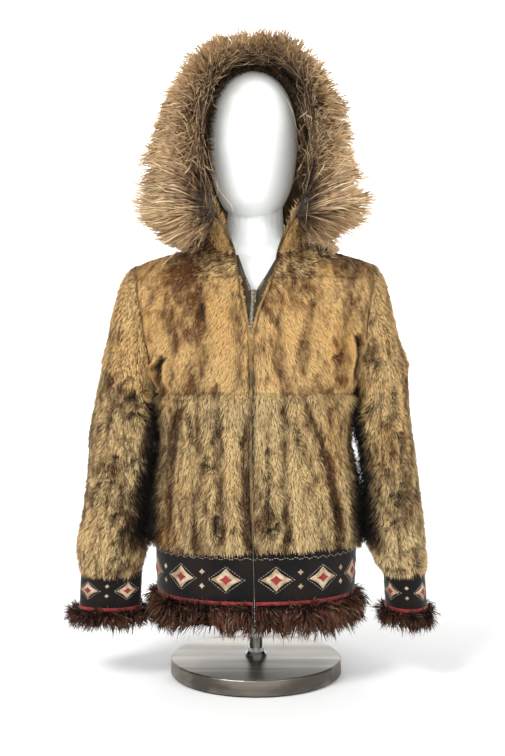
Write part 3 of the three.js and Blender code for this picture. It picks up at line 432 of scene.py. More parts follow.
def clearFace(coat, strand):
    # drops the hairs that cross the open face: a strand's points follow each other in the mesh
    count = len(strands[strand].data.vertices)
    p = readPoints(coat.data)[0] / mm
    far = np.hypot((p[:, 0] - openFace["x"]) / openFace["halfWidth"],
                   (p[:, 2] - openFace["z"]) / openFace["halfHeight"])
    crossing = np.any(((far < 1) & (p[:, 1] < openFace["behind"])).reshape(-1, count), axis=1)
    made = bmesh.new()
    made.from_mesh(coat.data)
    made.verts.ensure_lookup_table()
    doomed = [made.verts[i] for i in np.flatnonzero(np.repeat(crossing, count))]
    bmesh.ops.delete(made, geom=doomed, context="VERTS")
    made.to_mesh(coat.data)
    made.free()
    print("hairs over the face dropped:", coat.name, int(crossing.sum()))


# ---- colour of the hair and the hide under it, with painted shade

def buildHairColour():
    group, start, end = newGroup("hairColour", "ShaderNodeTree", {
        "Pale": "Color", "Golden": "Color", "Dark": "Color", "Rust": "Color", "Root share": 0.2,
        "Patch per metre": 9.0, "Patch strength": 0.5, "Streak strength": 0.5, "Pale tips": 0.2,
    }, {"Colour": "Color"})
    number, _, _ = calculator(group)
    along, tint, tone, warmth, shade = (
        addNode(group, "ShaderNodeAttribute", attribute_name=name).outputs["Fac"]
        for name in ("along", "tint", "tone", "warmth", "shade"))
    place = addNode(group, "ShaderNodeTexCoord").outputs["Object"]
    longPlace = addNode(group, "ShaderNodeMapping", {"Vector": place, "Scale": (1.0, 1.0, 0.42)}).outputs[0]

    def cloud(where, perMetre, detail, strength):
        made = addNode(group, "ShaderNodeTexNoise", {"Vector": where, "Scale": perMetre, "Detail": detail})
        return number("MULTIPLY", number("SUBTRACT", made.outputs[0], 0.5), 2.0, strength)

    patch = cloud(longPlace, start["Patch per metre"], 3.0, start["Patch strength"])
    streak = cloud(longPlace, number("MULTIPLY", start["Patch per metre"], 7.0), 2.0, start["Streak strength"])
    single = number("MULTIPLY", number("SUBTRACT", tint, 0.5), 0.55)
    depth = number("ADD", tone, patch, streak, single, clamp=True)
    shift = number("ADD", warmth, cloud(place, 6.0, 2.0, 0.45), clamp=True)
    pale = mixColour(group, shift, start["Pale"], start["Golden"])
    deep = mixColour(group, shift, start["Dark"], start["Rust"])
    # lit is 1 less the painted shade; the ramp darkens towards the root, for the hair's darker roots and painted
    # shade deep in the pile
    lit = number("SUBTRACT", 1.0, shade, clamp=True)
    rootAndPileShade = number("MULTIPLY", ramp(group, along, 0.0, 0.62, start["Root share"], 1.0), lit)
    grey = addNode(group, "ShaderNodeCombineColor", {0: rootAndPileShade, 1: rootAndPileShade, 2: rootAndPileShade}).outputs[0]
    shaded = mixColour(group, 1.0, mixColour(group, depth, pale, deep), grey, "MULTIPLY")
    guard = number("MULTIPLY", ramp(group, tint, 0.72, 0.9), ramp(group, along, 0.35, 0.95), lit, start["Pale tips"])
    group.links.new(mixColour(group, guard, shaded, srgb(244, 222, 178)), end["Colour"])
    return group


hairColour = buildHairColour()
toneNames = ("Pale", "Golden", "Dark", "Rust")
shareNames = ("Root share", "Patch per metre", "Patch strength", "Streak strength", "Pale tips")
shineNames = ("Roughness", "Specular IOR Level", "Sheen Weight")


def hairMaterial(name, tones, shares, shine):
    material, shader = newMaterial(name)
    tree = material.node_tree
    sockets = {**dict(zip(toneNames, (srgb(*tone) for tone in tones))), **dict(zip(shareNames, shares))}
    colour = addNode(tree, "ShaderNodeGroup", node_tree=hairColour)
    setInputs(colour, sockets)
    setInputs(shader, {"Base Color": colour.outputs["Colour"], "Sheen Roughness": 0.5,
                       **dict(zip(shineNames, shine))})
    return material


# each row: the four tones, the five shares and the three of shine, in the order of the names above
hairLooks = {
    "coat": (((222, 199, 148), (216, 168, 98), (78, 52, 26), (112, 66, 30)),
             (0.24, 14.0, 1.35, 1.3, 0.5), (0.62, 0.16, 0.05)),
    "ruff": (((206, 176, 135), (193, 154, 108), (100, 72, 46), (96, 60, 32)),
             (0.1, 16.0, 0.8, 1.0, 0.9), (0.5, 0.28, 0.05)),
    "trim": (((90, 56, 42), (96, 52, 38), (22, 11, 8), (42, 20, 13)),
             (0.04, 24.0, 1.0, 1.1, 0.18), (0.6, 0.12, 0.0)),
    "dark": (((64, 46, 32), (84, 56, 32), (20, 13, 10), (32, 18, 10)),
             (0.2, 20.0, 0.8, 0.9, 0.3), (0.5, 0.3, 0.05)),
    "edge": (((202, 170, 112), (196, 154, 92), (110, 80, 40), (140, 100, 56)),
             (0.34, 20.0, 0.5, 0.7, 0.3), (0.62, 0.16, 0.05)),
}
hairFinish = {name: hairMaterial(name + "Hair", *look) for name, look in hairLooks.items()}


# ---- skins: each panel's own outline, subdivided and gently uneven, and the coat that grows on it

body = {
    "halfWidth": 190, "halfDepth": 110,  # of the torso, for telling its outer face from its inner one
    "lump": 2.2, "lumpsPerMetre": 24, "smallLump": 0.8, "smallPerMetre": 70,
    "hoodCentre": (0, 25, 880), "yokeCentre": (0, 0, 560),
    "sleeveCore": [(700, 140, 0), (560, 176, 0), (302, 230, -16), (150, 245, -26), (80, 246, -28)],
    "skinLevels": 2, "rootLevels": 3, "rim": 0.9, "crease": 0.9, "chestSlope": 0.55,
    "seam": {"z": 466, "reach": 9}, "slit": {"x": -7, "reach": 6, "full": 500, "none": 560},
    "partingReach": (1.5, 2.6, 6.5),  # how far a parting bares the roots, darkens it with painted shade and lifts the hair
    "inset": 3.6,  # the hide lies this far under the CAD's face, which stands for the pile's
}

# each kind of panel: base tone (0 pale to 1 dark) and warmth (0 olive to 1 golden or rust), how much its darker
# clumps of hair show, the coat that grows on it and its slot
panelKinds = {
    "front_lower": (0.46, 0.34, 0.7, "plush", "fur_grey_tan"),
    "front_chest": (0.42, 0.66, 1.3, "chest", "fur_golden_tan"),
    "yoke": (0.56, 0.75, 0.6, "chest", "fur_brown"),
    "sleeve_upper": (0.16, 0.5, 0.9, "sleeve", "fur_golden_tan"),
    "sleeve_lower": (0.57, 0.3, 1.1, "sleeve", "fur_grey_tan"),
    "hood_side": (0.52, 0.5, 0.5, "rear", "fur_brown"),
    "back_lower": (0.44, 0.3, 0.7, "rear", "fur_grey_tan"),
    "back_upper": (0.42, 0.7, 0.6, "rear", "fur_golden_tan"),
    "hood_middle": (0.46, 0.5, 0.6, "rear", "fur_brown"),
}
panels = [node for kind in panelKinds
          for node in ([kind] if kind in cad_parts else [kind + "_right", kind + "_left"])]
ruffShadowPatches = [(66, 726, 18, 30, 0.5, 0.1), (40, 700, 8, 40, 0.3, 0.0)]  # painted shadow under the ruff, beside the neck, as patches below

# front patches: (x, z, half width, half height, tone, warmth)
patches = [
    (-129, 614, 62, 36, 0.36, 0.1), (-81, 600, 24, 34, 0.2, 0.1), (-42, 556, 30, 62, -0.3, 0.1),
    (-153, 545, 18, 30, -0.3, -0.1), (-120, 668, 60, 12, 0.2, 0.1), (-100, 506, 40, 22, 0.12, 0.0),
    (30, 660, 24, 32, 0.34, 0.1), (88, 650, 44, 22, 0.3, 0.1), (69, 578, 56, 24, -0.34, 0.0),
    (141, 553, 28, 40, -0.18, 0.3), (130, 537, 13, 9, 0.6, 0.1), (32, 506, 22, 24, 0.34, 0.1),
    (108, 514, 34, 22, -0.12, 0.0), (150, 620, 22, 26, 0.2, 0.1), (-105, 684, 34, 16, 0.4, 0.0),
    (-54, 690, 14, 18, 0.3, 0.0), (74, 684, 26, 22, 0.36, 0.0), (120, 690, 30, 16, 0.2, 0.2),
    (-97, 305, 12, 70, -0.22, -0.1), (-42, 330, 12, 90, 0.16, 0.1), (-18, 340, 7, 110, 0.44, 0.1),
    (-146, 245, 16, 44, 0.26, 0.4), (-128, 400, 14, 50, -0.12, 0.0), (42, 380, 12, 80, -0.1, 0.0),
    (72, 430, 22, 34, 0.3, 0.1), (120, 412, 16, 66, 0.34, 0.3), (101, 243, 22, 40, -0.14, 0.0),
    (127, 305, 8, 66, 0.3, 0.2), (-209, 560, 12, 70, -0.26, 0.0), (-232, 190, 30, 36, 0.1, -0.1),
    (205, 575, 16, 60, -0.24, 0.0), (218, 400, 20, 60, 0.2, 0.3), (226, 196, 30, 26, -0.32, -0.1),
    (246, 470, 10, 60, 0.2, 0.3), (-146, 548, 16, 10, -0.5, 0.0), (-172, 520, 8, 24, 0.5, 0.2),
    (-30, 620, 14, 60, -0.2, 0.0), (-14, 560, 10, 50, 0.3, 0.1), (60, 620, 30, 10, 0.3, 0.2),
    (110, 600, 26, 12, 0.28, 0.1), (-130, 668, 26, 12, 0.3, 0.2), (26, 560, 12, 46, 0.24, 0.1),
    (226, 640, 30, 70, -0.22, 0.0), (232, 430, 22, 90, -0.12, 0.0), (60, 330, 60, 80, 0.08, 0.0),
]

# front partings, where the pile opens on its dark roots and painted shade fills the crevice: (x, z, length, degrees
# from upright)
partings = [
    (-79, 369, 16, 10), (-75, 360, 9, 70), (-84, 362, 9, -40), (-64, 416, 12, -5), (-70, 400, 8, 30),
    (18, 384, 10, 6), (19, 362, 9, -8), (18, 342, 8, 5), (19, 322, 9, -6), (18, 302, 8, 8), (20, 284, 8, -20),
    (27, 262, 16, 86), (31, 268, 10, 20), (24, 256, 8, -30), (65, 407, 26, -8), (128, 280, 34, 12),
    (-66, 268, 30, 3), (-108, 432, 20, -15), (-88, 610, 16, -15), (-65, 686, 16, -40), (76, 679, 18, 5),
    (166, 562, 18, -30), (-160, 522, 18, 45), (129, 537, 12, 70), (-201, 477, 12, 0), (-206, 470, 9, 60),
    (-244, 434, 9, 90), (-233, 364, 10, 60), (-236, 330, 14, 78), (-204, 314, 26, 65), (-221, 279, 26, 75),
    (-207, 251, 34, 66), (-226, 232, 20, 80), (182, 543, 18, 20), (188, 528, 12, 80), (198, 520, 12, 15),
    (227, 472, 30, -5), (238, 380, 30, 5), (198, 342, 12, 88), (-36, 262, 10, 20), (52, 250, 14, -30),
    (-244, 300, 12, 60), (232, 300, 14, 70), (216, 260, 18, 84),
]

# folds of the body fur: points (x, z) down each valley, then its reach, depth and the painted shade in it
folds = [
    ([(-62, 470), (-60, 400), (-57, 330), (-56, 240)], 7, 5.0, 0.5),
    ([(-122, 462), (-136, 420), (-142, 340), (-144, 250)], 10, 5.5, 0.55),
    ([(-22, 440), (-20, 380), (-19, 300), (-18, 240)], 7, 4.0, 0.5),
    ([(46, 470), (44, 420), (46, 330), (48, 236)], 7, 5.0, 0.45),
    ([(78, 466), (106, 400), (122, 330), (134, 262), (138, 240)], 7, 6.0, 0.6),
    ([(96, 300), (100, 262), (108, 236)], 6, 3.0, 0.3),
    ([(-98, 320), (-100, 280), (-98, 236)], 7, 3.5, 0.35),
    ([(-92, 640), (-84, 600), (-78, 560), (-80, 520)], 10, 3.5, 0.34),
    ([(-34, 640), (-30, 590), (-26, 540), (-24, 490)], 8, 3.0, 0.4),
    ([(96, 640), (86, 600), (76, 560), (72, 510)], 9, 3.0, 0.28),
    ([(36, 610), (34, 560), (36, 500)], 8, 3.0, 0.36),
    ([(150, 620), (140, 570), (138, 510)], 9, 3.0, 0.34),
    ([(-140, 620), (-134, 560), (-140, 500)], 9, 3.0, 0.3),
    ([(-152, 532), (-158, 520), (-160, 500)], 6, 8.0, 1.4),
    ([(166, 566), (170, 540), (163, 508)], 5, 7.0, 1.3),
]
backSeed = 11
backCount = {"patches": 26, "partings": 24, "folds": 9}
sleeveCracks = {"seed": 5, "count": 34, "low": 190, "high": 500}


def backRows():
    draw = np.random.default_rng(backSeed).uniform
    spots, lines, creases = [], [], []
    for _ in range(backCount["patches"]):
        ranges = ((-240, 240), (200, 690), (12, 44), (20, 60), (-0.32, 0.4), (-0.1, 0.2))
        spots.append(tuple(draw(*ends) for ends in ranges))
    for _ in range(backCount["partings"]):
        lines.append(tuple(draw(*ends) for ends in ((-240, 240), (240, 640), (12, 40), (-40, 60))))
    for i in range(backCount["folds"]):
        x = -150 + 300 * i / (backCount["folds"] - 1) + draw(-10, 10)
        lean = draw(-14, 14)
        creases.append(([(x, 466), (x + lean, 360), (x + lean * 1.4, 240)], draw(6, 11), draw(3, 5.5),
                        draw(0.25, 0.5)))
    return spots, lines, creases


def sleeveRows():
    draw = np.random.default_rng(sleeveCracks["seed"]).uniform
    rows = []
    for i in range(sleeveCracks["count"]):
        z = draw(sleeveCracks["low"], sleeveCracks["high"])
        x = (-1 if i % 2 else 1) * (float(np.interp(z, [190, 500], [238, 200])) + draw(-30, 30))
        rows.append((x, z, draw(6, 20), draw(50, 120)))
    return rows


backPatches, backPartings, backFolds = backRows()
partings += sleeveRows()


# how much a panel's features move its hide outward in millimetres, paint shade on it, darken or pale its tone and
# lift its hair
# the shade row and the darker tones are painted shade in the under-arm gap, folds, partings and opening; the paler
# ridge and seam are painted light
effects = {
    "outward": {"middle": -3.2, "wide": -1.4, "ridge": 1, "deep": -1, "seam": 2.4, "slit": -4},
    "shade": {"armGapShade": 1.1, "crack": 0.95, "dark": 0.6, "slit": 0.85},
    "tone": {"crack": 0.6, "dark": 1, "ridge": -0.14, "seam": -0.3, "pale": -0.16, "armGapShade": 0.75},
    "extraLift": {"wide": 0.3, "seam": 0.3, "armGapShade": 0.45},
}


def weighted(effect, features):
    return sum(share * features[name] for name, share in effects[effect].items())


def weldedMesh(node):
    made = bmesh.new()
    made.from_mesh(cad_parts[node].data)
    bmesh.ops.remove_doubles(made, verts=made.verts, dist=0.02 * mm)
    bmesh.ops.join_triangles(made, faces=made.faces, angle_face_threshold=0.7, angle_shape_threshold=1.4)
    crease = made.edges.layers.float.new("crease_edge")
    for edge in made.edges:
        if len(edge.link_faces) == 2 and edge.calc_face_angle(0) > body["rim"]:
            edge[crease] = body["crease"]
    return toMesh(made, node + "Welded")


def subdivided(mesh, levels, name):
    # corners are first moved out, so that the rounded surface runs through the ones it started with
    source = mesh.copy()
    holder = linkNew(name + "Holder", source)
    modifier = holder.modifiers.new("smooth", "SUBSURF")
    modifier.levels = modifier.render_levels = levels
    graph = bpy.context.evaluated_depsgraph_get()
    wanted = readPoints(source)[0]
    rounded = holder.evaluated_get(graph).to_mesh()
    shift = wanted - readPoints(rounded)[0][:len(wanted)]
    holder.evaluated_get(graph).to_mesh_clear()
    setPoints(source, wanted + shift)
    holder.update_tag()
    graph.update()
    made = meshes.new_from_object(holder.evaluated_get(graph), depsgraph=graph)
    made.name = name
    bpy.data.objects.remove(holder)
    dropFields(made, ["crease_edge"])
    return made


def sleeveCore(z, side):
    rows = np.array(body["sleeveCore"][::-1], float) * mm
    return np.interp(z, rows[:, 0], rows[:, 1]) * side, np.interp(z, rows[:, 0], rows[:, 2])


def outwardFrom(kind, side, p):
    # the direction that leads out of the garment at each point
    if kind.startswith(("sleeve", "cuff")):
        x, y = sleeveCore(p[:, 2], side)
        return unit(np.stack([p[:, 0] - x, p[:, 1] - y, 0 * x], 1))
    if kind.startswith("hood") or kind == "ruff":
        out = p - np.array(body["hoodCentre"]) * mm
        out[:, 2] = np.maximum(out[:, 2], 0)
        return unit(out)
    if kind == "yoke":
        return unit((p - np.array(body["yokeCentre"]) * mm) * (0.6, 1, 1))
    return unit(p / ((body["halfWidth"] * mm) ** 2, (body["halfDepth"] * mm) ** 2, np.inf))


def parted(p, front):
    # nearness to the closest parting at three reaches, and the direction that leads away from it
    near = np.zeros((3, len(p)))
    away = np.zeros((len(p), 3))
    for rows, mask in ((partings, front), (backPartings, ~front)):
        for x, z, length, degrees in rows:
            line = np.array([math.sin(math.radians(degrees)), math.cos(math.radians(degrees))])
            offset = p[:, ::2] / mm - (x, z)
            gap = offset - np.clip(offset @ line, -length / 2, length / 2)[:, None] * line
            far = np.where(mask, np.linalg.norm(gap, axis=1), 1e3)
            near = np.maximum(near, [bell(far, reach) for reach in body["partingReach"]])
            away[:, ::2] += gap * (bell(far, body["partingReach"][2]) / np.maximum(far, 0.5))[:, None]
    return (*near, away)


def folded(p, front):
    # how deep each point lies in a fold, how much painted shade darkens it there, and how high the ridges beside it
    # stand
    x, z = p[:, 0] / mm, p[:, 2] / mm
    found = np.zeros((3, len(p)))
    for rows, mask in ((folds, front), (backFolds, ~front)):
        for line, reach, depth, foldShade in rows:
            across, heights = np.array(line[::-1], float).T
            ends = rise(-z, -heights[-1] - 14, -heights[-1] + 10) * rise(z, heights[0] - 14, heights[0] + 10) * mask
            off = x - np.interp(z, heights, across)
            valley = bell(off, reach) * ends
            beside = bell(np.abs(off) - 2.2 * reach, reach) * ends
            found = np.maximum(found, [depth * valley, foldShade * valley, 0.6 * depth * beside])
    return found


def noiseAt(p, scale=1):
    return np.array([noise.noise(Vector(spot) * scale) for spot in p])


def restLay(kind, side, p, out):
    # which way the hair lies before partings and strays turn it
    x = p[:, 0]
    down = np.tile([0.0, 0.0, -1.0], (len(p), 1))
    if kind == "yoke":
        return unit(np.stack([np.sign(x) * 0.7 + x * 2, np.sign(p[:, 1]) * 0.9, -0.5 + 0 * x], 1))
    if kind.startswith("sleeve"):
        down[:, 0] = side * 0.2
        return unit(down)
    if kind.startswith("hood"):
        low = rise(-p[:, 2:] / mm, -745, -715)
        along = unit(np.cross(out, (1.0, 0.0, 0.0)) + np.abs(out[:, :1]) * np.array([[0.0, 0.7, -0.7]]))
        return unit(along * (1 - low) + np.array([[side * 0.9, 0.0, -0.5]]) * low)
    down[:, 0] = x * 0.7 + np.sign(x) * 0.5 * rise(np.abs(x) / mm, 140, 170)
    if kind == "front_chest":
        down[:, 0] += body["chestSlope"] * np.clip((x / mm - body["slit"]["x"]) / 30, -1, 1)
    return unit(down)


def kindOf(node):
    sided = node.endswith(("right", "left"))
    return node.rsplit("_", 1)[0] if sided else node, -1 if node.endswith("right") else 1


def tonesAt(p, kind, front):
    tone, warmth = (np.full(len(p), v) for v in panelKinds[kind][:2])
    spot = p * (72, 72, 27)
    if kind == "front_chest":
        spot = p * (44, 44, 15)
        spot[:, 0] += 44 * body["chestSlope"] * np.sign(p[:, 0]) * p[:, 2]
    tone += panelKinds[kind][2] * (np.clip(noiseAt(spot) - 0.12, 0, 1) - 0.08)
    tables = []
    if kind == "hood_side":
        # on the hood's sides, only the painted shadow under the ruff
        tables = [(ruffShadowPatches, front, np.abs(p[:, 0]))]
    if not kind.startswith("hood"):
        tables = [(patches, front, p[:, 0]), (backPatches, ~front, p[:, 0])]
    for rows, mask, across in tables:
        for x, z, wide, tall, darker, warmer in rows:
            share = bell(np.hypot((across / mm - x) / wide, (p[:, 2] / mm - z) / tall), 1) * mask
            tone += darker * share
            warmth += warmer * share
    return tone, warmth


def armGapShadeMask(p, kind, side, out):
    # 1 on the faces that the body and a sleeve turn to each other: the gap between them, where shade is painted and
    # the hair grows longer
    z = p[:, 2] / mm
    height = rise(z, 215, 245) * rise(-z, -500, -460)
    if kind.startswith("sleeve"):
        return rise(-side * out[:, 0], 0.35, 0.75) * height
    if kind in ("front_lower", "back_lower"):
        return rise(np.abs(p[:, 0]) / mm, 150, 162) * height
    return 0 * height


def dressSkin(mesh, kind, side, growing):
    # presses folds and partings in, lifts lumps on the outer face, writes the painted shade and the tone, and what
    # the coat needs
    p, n = readPoints(mesh)
    out = outwardFrom(kind, side, p)
    outer = rise(np.sum(n * out, 1), 0.1, 0.5)
    sleeve, hood = kind.startswith("sleeve"), kind.startswith("hood")
    front = p[:, 1] < (sleeveCore(p[:, 2], side)[1] if sleeve else 0)
    close, middle, wide, away = (v * (not hood) for v in parted(p, front))
    # fold valleys get painted shade, and the ridges beside them a paler tone: painted light on the ridges
    deep, dark, ridge = folded(p, front) * (not (hood or sleeve or kind == "yoke"))
    seam = slit = 0
    # the seam between panels is raised and paler: painted light on its ridge
    if kind in ("front_lower", "back_lower"):
        seam = bell(p[:, 2] / mm - body["seam"]["z"], body["seam"]["reach"])
    # the front opening is pressed in and gets painted shade in its crevice
    if kind in ("front_lower", "front_chest"):
        row = body["slit"]
        slit = bell(p[:, 0] / mm - row["x"], row["reach"]) * rise(-p[:, 2] / mm, -row["none"], -row["full"])
    # painted shade and a darker tone where the body and a sleeve shade each other under the arm
    armGapShade = armGapShadeMask(p, kind, side, out)
    crack = middle * (0.4 if growing else 1.0)  # the painted shade of a parting falls fully on the skin; hairs that grow beside it keep most of their colour
    pale = np.clip(wide - 1.2 * middle, 0, 1)
    features = {"middle": middle, "wide": wide, "ridge": ridge, "deep": deep, "seam": seam, "slit": slit,
                "armGapShade": armGapShade, "crack": crack, "dark": dark, "pale": pale}
    lumps = (body["lump"] * noiseAt(p, body["lumpsPerMetre"])
             + body["smallLump"] * noiseAt(p, body["smallPerMetre"]))
    lift = lumps - body["inset"] + weighted("outward", features)
    setPoints(mesh, p + out * (lift * outer * mm)[:, None])
    tone, warmth = tonesAt(p, kind, front)
    putFields(mesh, shade=np.clip(weighted("shade", features), 0, 0.985),
              tone=tone + weighted("tone", features), warmth=warmth)
    if growing:
        thin = 0.36 * ~front if sleeve else 0
        putFields(mesh, growth=outer * (1 - 0.93 * close) * (1 - 0.5 * slit) * (1 - thin),
                  hairScale=(1 - 0.25 * close) * (1 + 0.25 * seam + 0.9 * armGapShade),
                  extraLift=weighted("extraLift", features),
                  lay=restLay(kind, side, p, out) + 1.4 * away)


def finishPiece(piece, slot, nodes=()):
    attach(piece, "parka")
    if nodes:
        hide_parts(*nodes)
    return piece


coatSizes = {
    "chest": (400000, 0.0112, 0.00095, 0.22, 0.16, 0.4, 30, 0.006, 0.3, 0.1, 0.12),
    "plush": (400000, 0.0108, 0.00095, 0.46, 0.22, 0.55, 42, 0.0065, 0.45, 0.14, 0.1),
    "sleeve": (315000, 0.0112, 0.00108, 0.48, 0.24, 0.6, 42, 0.007, 0.5, 0.14, 0.1),
    "rear": (182000, 0.0125, 0.00155, 0.4, 0.26, 0.45, 42, 0.007, 0.45, 0.12, 0.14),
}


def addPanel(node, seed):
    kind, side = kindOf(node)
    *_, coat, slot = panelKinds[kind]
    welded = weldedMesh(node)
    skin = subdivided(welded, body["skinLevels"], "pelt_" + node)
    dressSkin(skin, kind, side, False)
    pelt = linkNew("pelt_" + node, coated(skin, hairFinish["coat"]))
    roots = subdivided(welded, body["rootLevels"], node + "Roots")
    dressSkin(roots, kind, side, True)
    hair = grow("fur_" + node, roots, hairFinish["coat"], "short", seed, coatSizes[coat])
    return finishPiece(pelt, slot, nodes=(node,)), finishPiece(hair, slot)


made = {node: addPanel(node, 100 + index) for index, node in enumerate(panels)}
print("fur panels:", {n: len(c.data.polygons) for n, (_, c) in made.items()})


# ---- trims, pale neck edges and the dark fur inside the face opening

# lay: shares of outward, down and forward; tone and warmth as for the panels; rise: height of the rows that stand up
trims = {
    "hem_trim": {"inset": 5.0, "lay": (0.55, 1.0, 0.0), "tone": 0.5, "warmth": 0.35, "hair": "trim",
                 "strand": "middle", "slot": "fur_trim", "lump": 3.0, "rise": 9, "sizes": (
                     260000, 0.0225, 0.0016, 0.6, 0.45, 1.3, 22, 0.010, 0.7, 0.3, 0.35, 0.5, 1.15, 0.007, 60)},
    "cuff_trim": {"inset": 4.0, "lay": (0.8, 0.8, 0.0), "tone": 0.5, "warmth": 0.35, "hair": "trim",
                  "strand": "middle", "slot": "fur_trim", "lump": 2.0, "rise": 7, "sizes": (
                      280000, 0.0185, 0.0015, 0.6, 0.45, 1.2, 26, 0.009, 0.7, 0.3, 0.3, 0.5, 1.15, 0.006, 70)},
    "hood_edge": {"inset": 2.2, "lay": (0.1, 0.9, 0.4), "tone": 0.3, "warmth": 0.55, "hair": "edge",
                  "strand": "short", "slot": "fur_pale_edge", "lump": 1.0,
                  "sizes": (480000, 0.0085, 0.0012, 0.4, 0.3, 0.6, 50, 0.006, 0.5, 0.1, 0.1)},
    "hood_inner_fur": {"inset": 1.0, "lay": (-0.5, 0.0, 1.0), "tone": 0.55, "warmth": 0.4, "hair": "dark",
                       "strand": "short", "slot": "fur_dark", "lump": 0.6,
                       "sizes": (420000, 0.019, 0.0013, 0.75, 0.4, 0.7, 40, 0.008, 0.6, 0.2, 0.15)},
}
trimNodes = ["hem_trim_right", "hem_trim_left", "hem_trim_back", "cuff_trim_right", "cuff_trim_left",
             "hood_edge_right", "hood_edge_left", "hood_inner_fur"]
bareWide = 48  # beside the opening the hem trim's top rows don't stand up
frontClip = {"from": 105, "to": 135, "share": 0.24}  # hair is shorter where a trim stands this far forward


def dressTrim(mesh, node, base, growing):
    row = trims[base]
    kind, side = kindOf(node)
    p, n = readPoints(mesh)
    out = outwardFrom(kind, side, p)
    facing = np.sum(n * out, 1) * (-1 if base == "hood_inner_fur" else 1)
    outer = rise(facing, -0.15, 0.25)
    if base.endswith("trim"):
        outer = np.maximum(outer, np.clip(-n[:, 2] - 0.3, 0, 1))
    lift = noiseAt(p, 40) * row["lump"] - row["inset"]
    setPoints(mesh, p + n * (lift * outer * mm)[:, None])
    putFields(mesh, tone=row["tone"], warmth=row["warmth"])
    if not growing:
        return
    outward, down, forward = row["lay"]
    lay = unit(out * outward + np.array([[0.0, -forward, -down]]))
    if base.endswith("trim"):
        # the top rows stand up over the piping
        top = p[:, 2].max() - row["rise"] * mm
        bare = (p[:, 0] > 0) & (p[:, 0] < bareWide * mm) & (p[:, 1] < 0)
        share = (rise(p[:, 2], top, top + 6 * mm) * ~bare)[:, None]
        lay = unit(lay * (1 - share) + (out * 0.7 + np.array([[0.0, 0.0, 0.9]])) * share)
    clip = rise(-p[:, 1] / mm, frontClip["from"], frontClip["to"])
    putFields(mesh, growth=outer, hairScale=1 - frontClip["share"] * clip, extraLift=0, lay=lay)


def addTrim(node, seed):
    base = next(key for key in trims if node.startswith(key))
    row, welded = trims[base], weldedMesh(node)
    skin, roots = (subdivided(welded, *what) for what in ((1, "pelt_" + node), (3, node + "Roots")))
    dressTrim(skin, node, base, False)
    dressTrim(roots, node, base, True)
    pelt = linkNew("pelt_" + node, coated(skin, hairFinish[row["hair"]]))
    coat = grow("fur_" + node, roots, hairFinish[row["hair"]], row["strand"], seed, row["sizes"])
    if base == "hood_inner_fur":
        clearFace(coat, row["strand"])
    return finishPiece(pelt, row["slot"], nodes=(node,)), finishPiece(coat, row["slot"])


for index, node in enumerate(trimNodes):
    made[node] = addTrim(node, 200 + index)
print("trims:", {n: len(made[n][1].data.polygons) for n in trimNodes})


# ---- ruff: a core under long hair that fans out from the face

ruff = {
    "coreReach": 0.52, "coreDepth": 0.72,  # shares of the whole ruff's reach and depth that the core takes
    "faceX": -4, "faceLow": 800, "faceHigh": 920,  # the upright line in the middle of the face opening
    "least": 30, "most": 142, "beyond": 1.42, "lowFan": 830, "frontStart": -116, "frontGive": 36,
    "under": (125000, 1.0, 0.0022, 0.16, 0.2, 0.42, 13, 0.018, 0.6, 0.14, 0.08, 0.55, 1.05, 0.012, 22),
    "guard": (84000, 1.1, 0.0010, 0.24, 0.25, 0.5, 15, 0.016, 0.5, 0.18, 0.1, 0.75, 1.3, 0.016, 20),
}


def rimFinder():
    # the hood's front rim: the middles of its faces that look straight ahead, found by x and z
    rim = [face.center[:] for node in ("hood_side_right", "hood_middle", "hood_side_left")
           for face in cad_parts[node].data.polygons if face.normal.y < -0.9]
    tree = KDTree(len(rim))
    for i, (x, _, z) in enumerate(rim):
        tree.insert((x, 0, z), i)
    tree.balance()
    return lambda spot: rim[tree.find((spot[0], 0, spot[2]))[1]]


def dressRuff(mesh, outline, nearest, growing):
    p, _ = readPoints(mesh)
    near = np.array([nearest(spot) for spot in p])
    offset = p - near
    setPoints(mesh, near + offset * (ruff["coreReach"], ruff["coreDepth"], ruff["coreReach"]))
    p, n = readPoints(mesh)
    faceZ = np.clip(near[:, 2], ruff["faceLow"] * mm, ruff["faceHigh"] * mm)
    fromFace = unit(np.stack([near[:, 0] - ruff["faceX"] * mm, 0 * faceZ, near[:, 2] - faceZ], 1))
    low = rise(-near[:, 2] / mm, -ruff["lowFan"], 60 - ruff["lowFan"])
    inside = np.clip(-np.sum(n * fromFace, 1), 0, 1)
    crown = rise(near[:, 2] / mm, 930, 980)
    # paler at the crown; darker on the faces that turn into the face opening, more so low down: painted shade in the
    # opening
    putFields(mesh, tone=0.26 - 0.26 * crown + (0.42 + 0.4 * low) * inside, warmth=0.4)
    if not growing:
        return
    lay = unit(fromFace * 0.03 + offset * (1, 0, 1))
    lay[:, 1] += np.where(offset[:, 1] < -0.012, -0.12, 0.1)
    lay[:, 2] += 0.75 * low - 0.06
    lay = unit(lay)
    room = []
    for start, way in zip(p, lay):
        hit = outline.ray_cast(Vector(start) + Vector(way) * 0.002, Vector(way))
        room.append(0.02 if hit[3] is None else hit[3])
    length = np.clip(np.array(room) * ruff["beyond"], ruff["least"] * mm, ruff["most"] * mm)
    length *= 1 - 0.75 * np.clip(-lay[:, 2], 0, 0.7) / 0.7
    length *= (1 - 0.5 * rise(-p[:, 2] / mm, -762, -722)) * (1 + 0.3 * crown)
    putFields(mesh, growth=1 - np.clip(inside * 1.6, 0, 1) * low, hairScale=length, extraLift=0, lay=lay)


def pressBack(mesh):
    # tips that would stand far out to the front are pressed back gently
    p, _ = readPoints(mesh)
    give = ruff["frontGive"] * mm
    past = np.maximum(ruff["frontStart"] * mm - p[:, 1], 0)
    p[:, 1] += past - give * np.tanh(past / give)
    setPoints(mesh, p)


